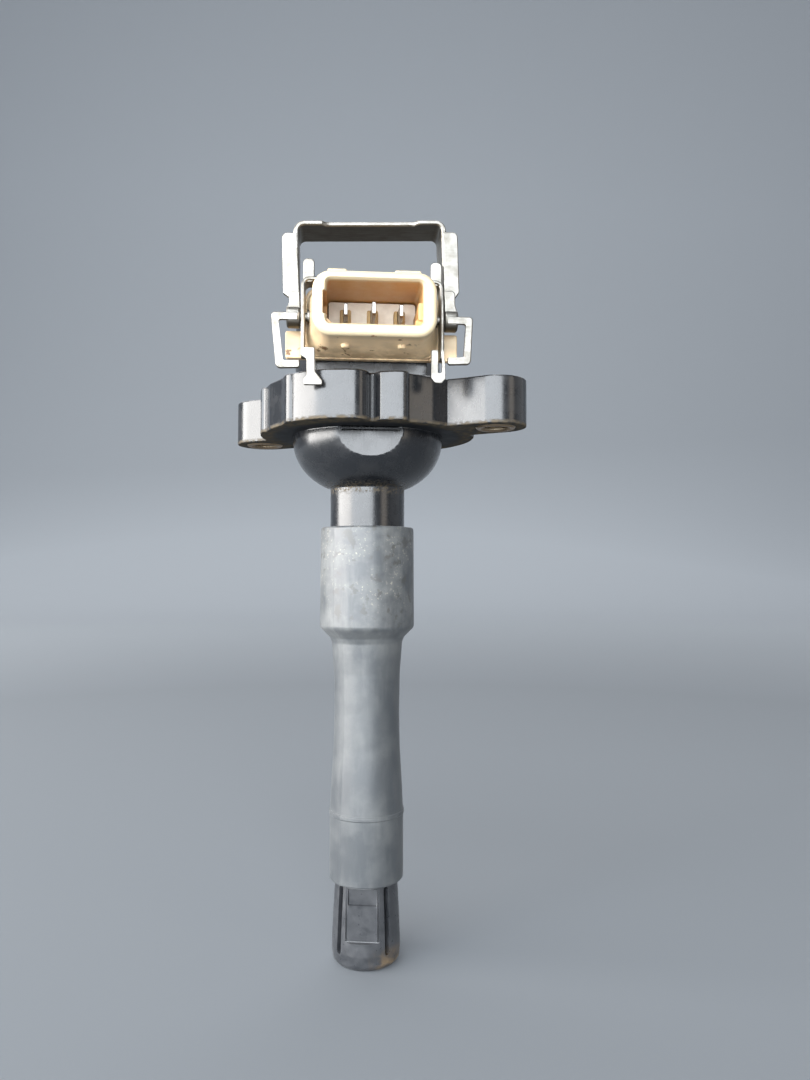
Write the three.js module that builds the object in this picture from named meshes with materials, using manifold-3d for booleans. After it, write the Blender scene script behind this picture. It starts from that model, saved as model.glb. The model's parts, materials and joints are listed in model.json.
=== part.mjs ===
// A coil-on-plug ignition coil: a potted transformer in a flanged black housing, a rubber boot that
// reaches down the plug well, and a three-way connector that a sprung steel bail locks.
// Millimetres, +Z along the coil towards the connector end, -Y out of the connector's mouth.
// The origin is on the coil's axis, level with the feet of the two ear bushings.

import * as THREE from "three";
import { mergeVertices } from "three/addons/utils/BufferGeometryUtils.js";
import Module from "manifold-3d";

const wasm = await Module();
wasm.setup();

// ---------- driving dimensions ----------

const GAP = 0.3; // between a piece and the pocket that it sits in
const ROUND = 36; // facets round a large turned piece
const SMALL_ROUND = 24; // facets round a pin, bore, bush or inner piece
const WIRE_HALF_SIDES = 3; // facets round half a wire

// housing: flange, two ears, dome, neck and tower
const FLANGE_BOTTOM = GAP;
const FLANGE_TOP = 11.8;
const FLANGE_R = 28;
const FLANGE_ARC = { from: -10, to: 194.5 }; // degrees of the plain round part, from under the right ear
const EAR_R = 7.5;
const EAR_ROOT = 12; // from the coil's axis to the square root of an ear, inside the flange
const RIGHT_EAR = { x: 30.5, y: -19 };
const LEFT_EAR = { x: -28.2, y: 16 };
const BUSH_TOP = FLANGE_TOP + GAP;
const BUSH_R = 4.9;
const BOLT_R = 3.25;
const DOME_R = 19.6;
const DOME_DEPTH = 14.9;
const DOME_POWER = 2.2; // a little squarer than an ellipse
const FACET = { halfWidth: 12, y: -18, bottom: -7.5 };
const SLOT = { halfWidth: 7.1, bottom: -0.7, top: 0.1, depth: 2 };
const NECK_R = 9.7;
const NECK_TOP = -13.5;
const NECK_END = -47;
const TOWER_R = 19;
const TOWER_TOP = 33;
const TOWER_BORE_R = 17;
const CAVITY_FLOOR = 0.8;
const LEAD_POCKET = { r: 12, floor: -6 };
const PIN_BORE_R = 2.1;
const NECK_BORE = { r: 5, top: -13 };
const PAD = { halfWidth: 13.5, front: -21, back: -12, top: 31.5 }; // flat face that the connector sits on
const BLADE_WINDOW = { halfWidth: 8.2, halfHeight: 1.9 };

// transformer
const CORE = { halfWidth: 15.5, depth: 9, bottom: 1.2, top: 27.2, leg: 4 };
const BAR = { width: 7, depth: 8.5 };
const MAGNET_THICKNESS = 1.2;
const CORE_GAP = 0.15;
const BOBBIN = { bottom: 5.6, top: 22.8, flange: 1 };
const PRIMARY = { bore: 5.7, barrel: 6.6, winding: 8, flange: 8.2 };
const SECONDARY = { bore: 8.5, barrel: 9.2, winding: 11, flange: 11.2 };
const WINDING_GAP = 0.15;
const LEAD_R = 0.35;

// high-voltage path down the neck and the boot
const HV_TERMINAL = { top: -4, headR: 2.5, headBottom: -5.7, stemR: 1.8, end: -48.6 };
const HV_SOCKET = { top: -44, r: 3.2 };
const RESISTOR = { top: -49, end: -70.5, bodyR: 2.9, capR: 3.3, cap: 3 };
const SPRING = { top: -70.8, end: -91.6, r: 2.6, wire: 0.4, turns: 9 };
const CONTACT = { top: -91.9, end: -99.5, r: 3.3, dishR: 2.4, dish: 0.8 };

// rubber boot and the plastic end that grips the plug
const BOOT = { top: -23.4, headR: 12.3, headEnd: -50.4, waistZ: -71, waistR: 8.45, end: -113.8 };
const BOOT_RING = { top: -96.2, bottom: -97.4, r: 9.75 };
const BOOT_LOWER_R = 9.55;
const BOOT_BORE_R = 4;
const COLLET = {
  top: -96.9,
  sleeveR: 7.5,
  boreR: 6.4,
  shoulder: -114.1,
  neckR: 8.05,
  bellyZ: -128,
  bellyR: 8.8,
  end: -134.8,
};
const COLLET_WINDOW = { width: 9.4, top: -114.4, bottom: -127.6, depth: 0.9, angle: -9.5 };
const COLLET_SLOT = { width: 1.5, bottom: -131, angle: 35.5 };

// connector
const SHELL = { halfWidth: 13.7, bottom: 16.5, top: 30.9, front: -39, rear: -21.3, corner: 3.4 };
const MOUTH = { halfWidth: 10.55, bottom: 19.4, top: 28.85, corner: 1 };
const COLLAR = { halfWidth: 15.8, bottom: 15.5, top: 31.9, front: -24.5, corner: 3 };
const LUG = { reach: 20.3, bottom: 15.2, top: 21.6, front: -23.6, rear: -21.6 };
const CARRIER = { front: -24, rear: -21.6 };
const BLADE = { pitch: 6.3, thickness: 0.8, height: 3.2, z: 24.3, front: -32.6 };
const BLADE_TAIL = { end: -13.3, height: 1.4 };
const CENTER_BLADE_EXTRA = 1.5;

// steel bracket, pins and bail
const SHEET = 0.9;
const PLATE = { inner: 15.3, front: -29.2, rear: -24.9, bottom: 14.6 };
const STRAP = { bottom: 32.2, front: -28.2, rear: -22.6 };
const TAB = { inner: 13.5, top: 37.4, front: -27.6 };
const PIVOT = { y: -26.5, z: 24, r: 1 };
const BAIL_SHEET = 1.1;
const ARM_INNER = 16.7;
const BARREL = { inner: 1.3, outer: 2.6, end: 19.9 };
const BAR_STRIP = { top: 23.2, front: -0.6, rear: 9.6, notch: 0.9, notchHalf: 11 };
const ARM_FLANGE = { reach: 20.5, bottom: 4.8, top: 20.3 };
const LOOP = { reach: 23.3, top: 0.4, bottom: -11.7, bar: 1.6, rear: -1.6 };

const FINISHES = {
  black_plastic: { color: 0x111214, roughness: 0.3, metalness: 0 },
  cover_plastic: { color: 0x17181a, roughness: 0.5, metalness: 0 },
  tip_plastic: { color: 0x1c1d1f, roughness: 0.45, metalness: 0 },
  boot_rubber: { color: 0x2c2e30, roughness: 0.85, metalness: 0 },
  cream_plastic: { color: 0xe0bd8c, roughness: 0.5, metalness: 0 },
  grey_plastic: { color: 0x8d857c, roughness: 0.6, metalness: 0 },
  bobbin_plastic: { color: 0x3a2f24, roughness: 0.6, metalness: 0 },
  resin: { color: 0x201a14, roughness: 0.35, metalness: 0 },
  plated_steel: { color: 0xc9c7bf, roughness: 0.32, metalness: 1 },
  core_steel: { color: 0x6a6b6e, roughness: 0.5, metalness: 1 },
  magnet: { color: 0x4a4a4c, roughness: 0.6, metalness: 0 },
  copper: { color: 0xb4673a, roughness: 0.35, metalness: 1 },
  brass: { color: 0xb8934e, roughness: 0.35, metalness: 1 },
  ceramic: { color: 0xe8e2d6, roughness: 0.5, metalness: 0 },
};

// ---------- helpers ----------

/** A closed geometry as a solid whose faces point out. */
function solid(geometry) {
  const bare = geometry.clone();
  bare.deleteAttribute("normal");
  bare.deleteAttribute("uv");
  const merged = mergeVertices(bare);
  const points = merged.getAttribute("position").array;
  const corner = (i) => new THREE.Vector3(points[3 * i], points[3 * i + 1], points[3 * i + 2]);
  const faces = [];
  let volume = 0;
  for (let i = 0; i < merged.index.count; i += 3) {
    const [a, b, c] = merged.index.array.slice(i, i + 3);
    if (a === b || b === c || c === a) continue;
    faces.push([a, b, c]);
    volume += corner(a).dot(corner(b).cross(corner(c)));
  }
  const outward = volume > 0 ? faces : faces.map(([a, b, c]) => [a, c, b]);
  const triVerts = Uint32Array.from(outward.flat());
  return new wasm.Manifold(new wasm.Mesh({ numProp: 3, vertProperties: points, triVerts }));
}

function join(...geometries) {
  return geometries.map(asSolid).reduce((whole, next) => whole.add(next));
}

function cut(body, ...tools) {
  return tools.map(asSolid).reduce((whole, tool) => whole.subtract(tool), asSolid(body));
}

function asSolid(item) {
  return item.isBufferGeometry ? solid(item) : item;
}

/** A solid's vertices and triangles as a geometry. */
function geometryOf(item) {
  const { vertProperties, triVerts } = asSolid(item).getMesh();
  const geometry = new THREE.BufferGeometry();
  geometry.setAttribute("position", new THREE.BufferAttribute(vertProperties, 3));
  geometry.setIndex(new THREE.BufferAttribute(triVerts, 1));
  geometry.computeVertexNormals();
  return geometry;
}

/** A profile of [radius, z] points turned about the Z axis. */
function turned(profile, facets = ROUND) {
  const points = profile.map(([r, z]) => new THREE.Vector2(r, z));
  return new THREE.LatheGeometry(points, facets).rotateX(Math.PI / 2);
}

function rod(r, z0, z1, facets = SMALL_ROUND) {
  return turned([[0, z0], [r, z0], [r, z1], [0, z1]], facets);
}

function tube(inner, outer, z0, z1, facets = ROUND) {
  return turned([[inner, z0], [outer, z0], [outer, z1], [inner, z1], [inner, z0]], facets);
}

/** A rod along X from x0 to x1, about the line y = 0, z = 0. */
function crossRod(r, x0, x1) {
  return rod(r, x0, x1).rotateY(Math.PI / 2);
}

function block(x0, x1, y0, y1, z0, z1) {
  const box = new THREE.BoxGeometry(x1 - x0, y1 - y0, z1 - z0);
  return box.translate((x0 + x1) / 2, (y0 + y1) / 2, (z0 + z1) / 2);
}

function extruded(shape, depth, facets = 8) {
  return new THREE.ExtrudeGeometry(shape, { depth, bevelEnabled: false, curveSegments: facets });
}

/** An outline in the XY plane, raised from z0 to z1. */
function upright(shape, z0, z1, facets) {
  return extruded(shape, z1 - z0, facets).translate(0, 0, z0);
}

/** An outline drawn as (x, z), from y0 (front) back to y1. */
function facing(shape, y0, y1, facets) {
  return extruded(shape, y1 - y0, facets).rotateX(Math.PI / 2).translate(0, y1, 0);
}

/** An outline drawn as (y, z), from x0 to x1. */
function sideways(shape, x0, x1, facets) {
  const turn = new THREE.Matrix4().makeBasis(
    new THREE.Vector3(0, 1, 0),
    new THREE.Vector3(0, 0, 1),
    new THREE.Vector3(1, 0, 0),
  );
  return extruded(shape, x1 - x0, facets).applyMatrix4(turn).translate(x0, 0, 0);
}

function polygon(points) {
  return new THREE.Shape(points.map(([x, y]) => new THREE.Vector2(x, y)));
}

/** A rectangle with rounded corners. */
function roundedRect(x0, x1, y0, y1, r) {
  const shape = new THREE.Shape();
  shape.absarc(x1 - r, y0 + r, r, -Math.PI / 2, 0, false);
  shape.absarc(x1 - r, y1 - r, r, 0, Math.PI / 2, false);
  shape.absarc(x0 + r, y1 - r, r, Math.PI / 2, Math.PI, false);
  shape.absarc(x0 + r, y0 + r, r, Math.PI, 1.5 * Math.PI, false);
  return shape;
}

/** The same geometry on the other side of the middle plane x = 0. */
function mirrored(geometry) {
  return geometry.clone().scale(-1, 1, 1);
}

function smoothPath(points) {
  return new THREE.CatmullRomCurve3(points.map(([x, y, z]) => new THREE.Vector3(x, y, z)));
}

/** A round wire along a path. */
function wire(path, r, steps) {
  const section = new THREE.Shape();
  section.absarc(0, 0, r, 0, 2 * Math.PI, false);
  return new THREE.ExtrudeGeometry(section, { steps, extrudePath: path, curveSegments: WIRE_HALF_SIDES });
}

function piece(name, item, finish) {
  const mesh = new THREE.Mesh(geometryOf(item), new THREE.MeshStandardMaterial(FINISHES[finish]));
  mesh.name = name;
  return mesh;
}

// ---------- housing and its covers ----------

/** The flange: round behind, and in front a shallow hollow, a lobe, a groove, a second lobe and a slope. */
function flangeOutline() {
  const { from, to } = FLANGE_ARC;
  const shape = new THREE.Shape();
  shape.absarc(0, 0, FLANGE_R, THREE.MathUtils.degToRad(from), THREE.MathUtils.degToRad(to), false);
  shape.lineTo(-26.2, -7.1);
  shape.lineTo(-24.7, -11.9);
  shape.lineTo(-21.5, -17.6);
  shape.lineTo(-20.7, -20.5);
  shape.quadraticCurveTo(-20.3, -22.5, -18.7, -22.7);
  shape.lineTo(-18.4, -23.2);
  shape.quadraticCurveTo(-12.8, -28.9, -4.5, -28.85);
  shape.quadraticCurveTo(-1.1, -28.6, -0.6, -25.4);
  shape.lineTo(0.4, -25.3);
  shape.lineTo(1.7, -27);
  shape.quadraticCurveTo(4.3, -28.2, 7.3, -28);
  shape.quadraticCurveTo(8.6, -27.6, 8.8, -25.2);
  shape.lineTo(14.6, -23);
  shape.lineTo(18.4, -20.4);
  return shape;
}

/** An ear seen from above: straight sides from its root inside the flange to a round end. */
function earOutline({ x, y }) {
  const along = Math.atan2(y, x);
  const root = new THREE.Vector2(EAR_ROOT, 0).rotateAround(new THREE.Vector2(), along);
  const side = new THREE.Vector2(0, EAR_R).rotateAround(new THREE.Vector2(), along);
  const shape = new THREE.Shape();
  shape.absarc(x, y, EAR_R, along - Math.PI / 2, along + Math.PI / 2, false);
  shape.lineTo(root.x + side.x, root.y + side.y);
  shape.lineTo(root.x - side.x, root.y - side.y);
  return shape;
}

/** Dome, neck and tower as one turned body. */
function barrel() {
  const dome = [0.97, 0.88, 0.76, 0.62, 0.48, 0.34, 0.2].map((share) => {
    const z = -DOME_DEPTH * share;
    return [DOME_R * (1 - share ** DOME_POWER) ** (1 / DOME_POWER), z];
  });
  const below = dome.filter(([r]) => r > NECK_R);
  const profile = [
    [0, NECK_END],
    [NECK_R, NECK_END],
    [NECK_R, NECK_TOP],
    ...below,
    [DOME_R, 0],
    [DOME_R, FLANGE_BOTTOM + 1],
    [TOWER_R, FLANGE_BOTTOM + 1],
    [TOWER_R, TOWER_TOP],
    [0, TOWER_TOP],
  ];
  return turned(profile);
}

/** The hollow inside: transformer cavity, lead pocket, terminal bore and neck bore. */
function hollow() {
  return turned([
    [0, NECK_END - 1],
    [NECK_BORE.r, NECK_END - 1],
    [NECK_BORE.r, NECK_BORE.top],
    [PIN_BORE_R, NECK_BORE.top],
    [PIN_BORE_R, LEAD_POCKET.floor],
    [LEAD_POCKET.r, LEAD_POCKET.floor],
    [LEAD_POCKET.r, CAVITY_FLOOR],
    [TOWER_BORE_R, CAVITY_FLOOR],
    [TOWER_BORE_R, TOWER_TOP + 1],
    [0, TOWER_TOP + 1],
  ]);
}

function housing() {
  const ears = [RIGHT_EAR, LEFT_EAR];
  const outlines = [flangeOutline(), ...ears.map(earOutline)];
  const plates = outlines.map((outline) => upright(outline, FLANGE_BOTTOM, FLANGE_TOP));
  const pad = block(-PAD.halfWidth, PAD.halfWidth, PAD.front, PAD.back, FLANGE_TOP - 1, PAD.top);
  const boltHoles = ears.map(({ x, y }) => rod(BUSH_R + 0.15, -1, FLANGE_TOP + 1).translate(x, y, 0));
  const facet = block(-FACET.halfWidth, FACET.halfWidth, FACET.y - 5, FACET.y, FACET.bottom, FLANGE_BOTTOM);
  const { halfWidth, bottom, top, depth } = SLOT;
  const slot = block(-halfWidth, halfWidth, FACET.y - 5, FACET.y + depth, bottom, top);
  const { halfWidth: wide, halfHeight: tall } = BLADE_WINDOW;
  const bladeWindow = block(-wide, wide, PAD.front - 1, PAD.back, BLADE.z - tall, BLADE.z + tall);
  return cut(join(...plates, barrel(), pad), hollow(), ...boltHoles, facet, slot, bladeWindow);
}

function topCover() {
  const lip = TOWER_BORE_R - GAP;
  return turned([
    [0, TOWER_TOP - 1.6],
    [lip - 1.6, TOWER_TOP - 1.6],
    [lip - 1.6, TOWER_TOP - 2],
    [lip, TOWER_TOP - 2],
    [lip, TOWER_TOP + 0.1],
    [TOWER_R, TOWER_TOP + 0.1],
    [TOWER_R, TOWER_TOP + 1.2],
    [TOWER_R - 0.7, TOWER_TOP + 1.8],
    [0, TOWER_TOP + 1.8],
  ]);
}

function pottingResin() {
  return tube(3, TOWER_BORE_R - GAP, CORE.top + GAP, TOWER_TOP - 2.5);
}

function earBushing({ x, y }) {
  return tube(BOLT_R, BUSH_R, 0, BUSH_TOP, SMALL_ROUND).translate(x, y, 0);
}

// ---------- transformer ----------

function coreFrame() {
  const { halfWidth, depth, bottom, top, leg } = CORE;
  const outline = polygon([[-halfWidth, bottom], [halfWidth, bottom], [halfWidth, top], [-halfWidth, top]]);
  const inner = halfWidth - leg;
  const low = bottom + leg;
  const high = top - leg;
  outline.holes.push(polygon([[-inner, low], [-inner, high], [inner, high], [inner, low]]));
  return facing(outline, -depth / 2, depth / 2);
}

function coreCenterBar() {
  const bottom = CORE.bottom + CORE.leg + CORE_GAP;
  const top = CORE.top - CORE.leg - MAGNET_THICKNESS - 2 * CORE_GAP;
  return block(-BAR.width / 2, BAR.width / 2, -BAR.depth / 2, BAR.depth / 2, bottom, top);
}

function biasMagnet() {
  const top = CORE.top - CORE.leg - CORE_GAP;
  return block(-BAR.width / 2, BAR.width / 2, -BAR.depth / 2, BAR.depth / 2, top - MAGNET_THICKNESS, top);
}

/** A spool with a flange at each end. */
function bobbin({ bore, barrel: waist, flange }) {
  const { bottom, top, flange: thick } = BOBBIN;
  return turned([
    [bore, bottom],
    [flange, bottom],
    [flange, bottom + thick],
    [waist, bottom + thick],
    [waist, top - thick],
    [flange, top - thick],
    [flange, top],
    [bore, top],
    [bore, bottom],
  ], SMALL_ROUND);
}

function winding({ barrel: waist, winding: outer }) {
  const clear = BOBBIN.flange + WINDING_GAP;
  return tube(waist + WINDING_GAP, outer, BOBBIN.bottom + clear, BOBBIN.top - clear, SMALL_ROUND);
}

/** A wire over the bobbins from a connector blade's tail to the primary winding. */
function primaryLead(side) {
  const z = BOBBIN.top + 1;
  const x = side * BLADE.pitch;
  const start = BLADE_TAIL.end + GAP + 0.1;
  const from = [x, start, BLADE.z];
  const to = [0.75 * x, -7, z - 0.3];
  return wire(smoothPath([from, [x, start + 2.5, z], [0.85 * x, -8.4, z], to]), LEAD_R, 8);
}

/** A wire from the secondary winding's foot, under the core, to the high-voltage terminal. */
function secondaryLead() {
  const low = LEAD_POCKET.floor + 1.2;
  const high = BOBBIN.bottom - 0.4;
  const path = smoothPath([[0, -10, high], [0, -9.8, 0], [0, -8, low], [0, -5.5, low], [0, -3, low]]);
  return wire(path, LEAD_R, 10);
}

// ---------- high-voltage path ----------

function hvTerminal() {
  const t = HV_TERMINAL;
  return turned(
    [
      [0, t.end],
      [HV_SOCKET.r, t.end],
      [HV_SOCKET.r, HV_SOCKET.top],
      [t.stemR, HV_SOCKET.top],
      [t.stemR, t.headBottom],
      [t.headR, t.headBottom],
      [t.headR, t.top],
      [0, t.top],
    ],
    SMALL_ROUND,
  );
}

function suppressionResistor() {
  const { top, end, bodyR, capR, cap } = RESISTOR;
  return turned(
    [
      [0, end],
      [capR, end],
      [capR, end + cap],
      [bodyR, end + cap],
      [bodyR, top - cap],
      [capR, top - cap],
      [capR, top],
      [0, top],
    ],
    SMALL_ROUND,
  );
}

/** The spring's centre line, from its top end down. */
class Helix extends THREE.Curve {
  getPoint(t, target = new THREE.Vector3()) {
    const clear = SPRING.wire + 0.1;
    const turn = 2 * Math.PI * SPRING.turns * t;
    const z = SPRING.top - clear + t * (SPRING.end - SPRING.top + 2 * clear);
    return target.set(SPRING.r * Math.cos(turn), SPRING.r * Math.sin(turn), z);
  }
}

function contactSpring() {
  return wire(new Helix(), SPRING.wire, SPRING.turns * 10);
}

/** The sprung button that presses on the plug's terminal, dished underneath. */
function plugContact() {
  const { top, end, r, dishR, dish } = CONTACT;
  return turned(
    [
      [0, end + dish],
      [dishR, end],
      [r - 0.4, end],
      [r, end + 0.6],
      [r, top - 1.6],
      [SPRING.r - 0.8, top - 1.6],
      [SPRING.r - 0.8, top],
      [0, top],
    ],
    SMALL_ROUND,
  );
}

// ---------- boot and plug end ----------

function rubberBoot() {
  const neckPocket = NECK_R + 0.2;
  const colletPocket = COLLET.sleeveR + 0.2;
  return turned([
    [neckPocket, BOOT.top],
    [neckPocket, NECK_END - GAP],
    [BOOT_BORE_R, NECK_END - GAP],
    [BOOT_BORE_R, COLLET.top + GAP],
    [colletPocket, COLLET.top + GAP],
    [colletPocket, BOOT.end],
    [BOOT_LOWER_R, BOOT.end],
    [BOOT_LOWER_R, BOOT_RING.bottom],
    [BOOT_RING.r, BOOT_RING.bottom + 0.3],
    [BOOT_RING.r, BOOT_RING.top - 0.3],
    [BOOT_LOWER_R - 0.1, BOOT_RING.top],
    [9.1, -88],
    [8.6, -79],
    [BOOT.waistR, BOOT.waistZ],
    [8.65, -62],
    [9.2, -53],
    [10.3, -52],
    [BOOT.headR, BOOT.headEnd],
    [BOOT.headR, BOOT.top - 0.6],
    [BOOT.headR - 0.6, BOOT.top],
    [neckPocket, BOOT.top],
  ]);
}

/** The plastic end: a sleeve inside the boot, then a slotted belly and a solid rim. */
function plugEndCollet() {
  const c = COLLET;
  const body = turned([
    [c.boreR, c.top],
    [c.boreR, c.end + 0.4],
    [c.boreR + 0.4, c.end],
    [c.bellyR - 1.4, c.end],
    [c.bellyR - 0.4, c.end + 0.9],
    [c.bellyR, c.end + 3],
    [c.bellyR, c.bellyZ],
    [8.45, -121],
    [c.neckR, c.shoulder],
    [c.sleeveR, c.shoulder],
    [c.sleeveR, c.top],
    [c.boreR, c.top],
  ]);
  const { width, top, bottom, depth, angle } = COLLET_WINDOW;
  const windowBlock = block(-width / 2, width / 2, -12, -c.neckR + depth, bottom, top);
  const slotBlock = block(-COLLET_SLOT.width / 2, COLLET_SLOT.width / 2, -12, -4, COLLET_SLOT.bottom, top);
  const windows = [0, 180].map((turn) => {
    return windowBlock.clone().rotateZ(THREE.MathUtils.degToRad(angle + turn));
  });
  const slots = [0, 90, 180, 270].map((turn) => {
    return slotBlock.clone().rotateZ(THREE.MathUtils.degToRad(COLLET_SLOT.angle + turn));
  });
  return cut(body, ...windows, ...slots);
}

// ---------- connector ----------

function connectorShell() {
  const { halfWidth, bottom, top, front, rear, corner } = SHELL;
  const body = facing(roundedRect(-halfWidth, halfWidth, bottom, top, corner), front, rear, 5);
  const wide = COLLAR.halfWidth;
  const collarOutline = roundedRect(-wide, wide, COLLAR.bottom, COLLAR.top, COLLAR.corner);
  const collar = facing(collarOutline, COLLAR.front, rear, 5);
  const lugs = block(-LUG.reach, LUG.reach, LUG.front, LUG.rear, LUG.bottom, LUG.top);
  const topRibs = [[-10.4, -6.2], [4.4, 10.2]].map(([x0, x1]) => {
    return block(x0, x1, front + 0.6, -30, top - 0.5, top + 0.5);
  });
  const bumps = [-6.4, 6.4].map((x) => rod(0.9, bottom - 0.6, bottom + 0.5, 12).translate(x, -31, 0));
  const mouth = roundedRect(-MOUTH.halfWidth, MOUTH.halfWidth, MOUTH.bottom, MOUTH.top, MOUTH.corner);
  const keyway = block(-MOUTH.halfWidth - 0.8, -MOUTH.halfWidth + 0.5, front - 1, -28, 21.4, 26.2);
  const whole = join(body, collar, lugs, ...topRibs, ...bumps);
  const shell = cut(whole, facing(mouth, front - 1, rear + 1, 3), keyway);
  const keyRib = block(MOUTH.halfWidth - 0.9, MOUTH.halfWidth + 0.5, front + 2, -28, 21, 24.2);
  return join(shell, keyRib);
}

/** The back wall of the connector, with a raised seat round each blade. */
function terminalCarrier() {
  const wall = block(
    -MOUTH.halfWidth + GAP,
    MOUTH.halfWidth - GAP,
    CARRIER.front,
    CARRIER.rear,
    MOUTH.bottom + GAP,
    MOUTH.top - GAP,
  );
  const across = [-BLADE.pitch, 0, BLADE.pitch];
  const seats = across.map((x) => {
    return block(x - 1.3, x + 1.3, CARRIER.front - 1.5, CARRIER.front + 0.5, BLADE.z - 2.3, BLADE.z + 2);
  });
  const slots = across.map((x) => {
    const half = BLADE.thickness / 2 + 0.2;
    const tall = BLADE.height / 2 + 0.2;
    return block(x - half, x + half, CARRIER.front - 3, CARRIER.rear + 1, BLADE.z - tall, BLADE.z + tall);
  });
  return cut(join(wall, ...seats), ...slots);
}

/** A blade with a chamfered point and a narrower tail into the housing. */
function terminalPin(x, extra) {
  const { thickness, height, z, front } = BLADE;
  const { end: tail, height: tailHeight } = BLADE_TAIL;
  const tip = front - extra;
  const half = height / 2;
  const narrow = tailHeight / 2;
  const outline = polygon([
    [tip, z - half + 0.5],
    [tip + 0.7, z - half],
    [-20.5, z - half],
    [-20, z - narrow],
    [tail, z - narrow],
    [tail, z + narrow],
    [-20, z + narrow],
    [-20.5, z + half],
    [tip + 0.7, z + half],
    [tip, z + half - 0.5],
  ]);
  return sideways(outline, x - thickness / 2, x + thickness / 2);
}

// ---------- steel bracket, pins and bail ----------

/** One side of the bracket, on the right: side plate, standing tab and the top of its foot. */
function bracketSide() {
  const outer = PLATE.inner + SHEET;
  const plateOutline = polygon([
    [PLATE.front, PLATE.bottom],
    [PLATE.rear, PLATE.bottom],
    [PLATE.rear, STRAP.bottom + SHEET],
    [STRAP.front, STRAP.bottom + SHEET],
    [PLATE.front, 28],
  ]);
  const plate = sideways(plateOutline, PLATE.inner, outer);
  const tabOutline = roundedRect(TAB.inner, outer, STRAP.bottom, TAB.top, 1);
  const tab = facing(tabOutline, TAB.front, TAB.front + SHEET, 3);
  return [plate, tab];
}

/** The left foot: a tongue under the connector that spreads at its end. */
function leftFoot() {
  const outer = -PLATE.inner - SHEET;
  return polygon([
    [outer, 14.6],
    [-15.2, 13.6],
    [-15.1, 10],
    [-15.8, 9.2],
    [-15.8, 7.7],
    [-11.5, 7.7],
    [-11.6, 8.9],
    [-13.2, 10.8],
    [-13.3, 16.4],
    [outer, 16.4],
  ]);
}

/** The right foot: the plate's edge comes down, turns inwards and stands up again as a tongue. */
function rightFoot() {
  const outer = PLATE.inner + SHEET;
  return polygon([
    [13.5, 16.4],
    [13.5, 9.8],
    [14.4, 8.7],
    [15.6, 8.7],
    [16.5, 9.8],
    [16.5, 13.6],
    [outer, 14.6],
    [outer, 16.4],
    [15.6, 16.4],
    [15.7, 11.2],
    [15.1, 11],
    [15.1, 16.4],
  ]);
}

function connectorBracket() {
  const outer = PLATE.inner + SHEET;
  const strap = block(-outer, outer, STRAP.front, STRAP.rear, STRAP.bottom, STRAP.bottom + SHEET);
  const right = bracketSide();
  const left = right.map(mirrored);
  const feet = [leftFoot(), rightFoot()].map((outline) => facing(outline, PLATE.front, PLATE.front + SHEET));
  const pinHole = crossRod(PIVOT.r + 0.15, -outer - 1, outer + 1).translate(0, PIVOT.y, PIVOT.z);
  return cut(join(strap, ...right, ...left, ...feet), pinHole);
}

/** A headed pin through the bracket and the eye of the bail. */
function pivotPin(side) {
  const head = crossRod(1.7, PLATE.inner - 1.1, PLATE.inner - 0.2);
  const shank = crossRod(PIVOT.r, PLATE.inner - 0.5, BARREL.end - 0.2);
  const pin = geometryOf(join(head, shank));
  return (side > 0 ? pin : mirrored(pin)).translate(0, PIVOT.y, PIVOT.z);
}

/** The right arm of the bail: side plate, outward flange, eye and lower loop, from the pivot. */
function bailArm() {
  const outer = ARM_INNER + BAIL_SHEET;
  const plateOutline = polygon([
    [-1.6, 0.5],
    [1.6, 0.5],
    [2.6, 5],
    [BAR_STRIP.rear, 17.5],
    [BAR_STRIP.rear, BAR_STRIP.top],
    [BAR_STRIP.front, BAR_STRIP.top],
    [BAR_STRIP.front, 4],
  ]);
  const plate = sideways(plateOutline, ARM_INNER, outer);
  const { reach, bottom, top } = ARM_FLANGE;
  const wing = roundedRect(ARM_INNER, reach, bottom, top, 0.8);
  const flange = facing(wing, BAR_STRIP.front, BAR_STRIP.front + BAIL_SHEET, 3);
  const eye = crossRod(BARREL.outer, ARM_INNER, BARREL.end);
  const loopOutline = polygon([
    [outer, LOOP.top - LOOP.bar],
    [outer, LOOP.top],
    [LOOP.reach, LOOP.top],
    [LOOP.reach, LOOP.bottom],
    [outer, LOOP.bottom],
    [outer, LOOP.bottom + LOOP.bar],
    [LOOP.reach - LOOP.bar, LOOP.bottom + LOOP.bar],
    [LOOP.reach - LOOP.bar, LOOP.top - LOOP.bar],
  ]);
  const loop = facing(loopOutline, LOOP.rear - BAIL_SHEET, LOOP.rear);
  return [plate, flange, eye, loop];
}

/** The bail about its pivot line, standing up as it does when the connector is open. */
function lockingBail() {
  const outer = ARM_INNER + BAIL_SHEET;
  const { top, front, rear, notch, notchHalf } = BAR_STRIP;
  const stripOutline = polygon([
    [-outer, front],
    [-notchHalf, front],
    [-notchHalf + 1, front + notch],
    [notchHalf - 1, front + notch],
    [notchHalf, front],
    [outer, front],
    [outer, rear],
    [-outer, rear],
  ]);
  const strip = upright(stripOutline, top - BAIL_SHEET, top);
  const right = bailArm();
  const left = right.map(mirrored);
  const bore = crossRod(BARREL.inner, -BARREL.end - 0.1, BARREL.end + 0.1);
  return cut(join(strip, ...right, ...left), bore);
}

// ---------- the assembly ----------

const group = new THREE.Group();

group.add(
  piece("housing", housing(), "black_plastic"),
  piece("top_cover", topCover(), "cover_plastic"),
  piece("potting_resin", pottingResin(), "resin"),
  piece("ear_bushing_right", earBushing(RIGHT_EAR), "plated_steel"),
  piece("ear_bushing_left", earBushing(LEFT_EAR), "plated_steel"),
);

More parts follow.
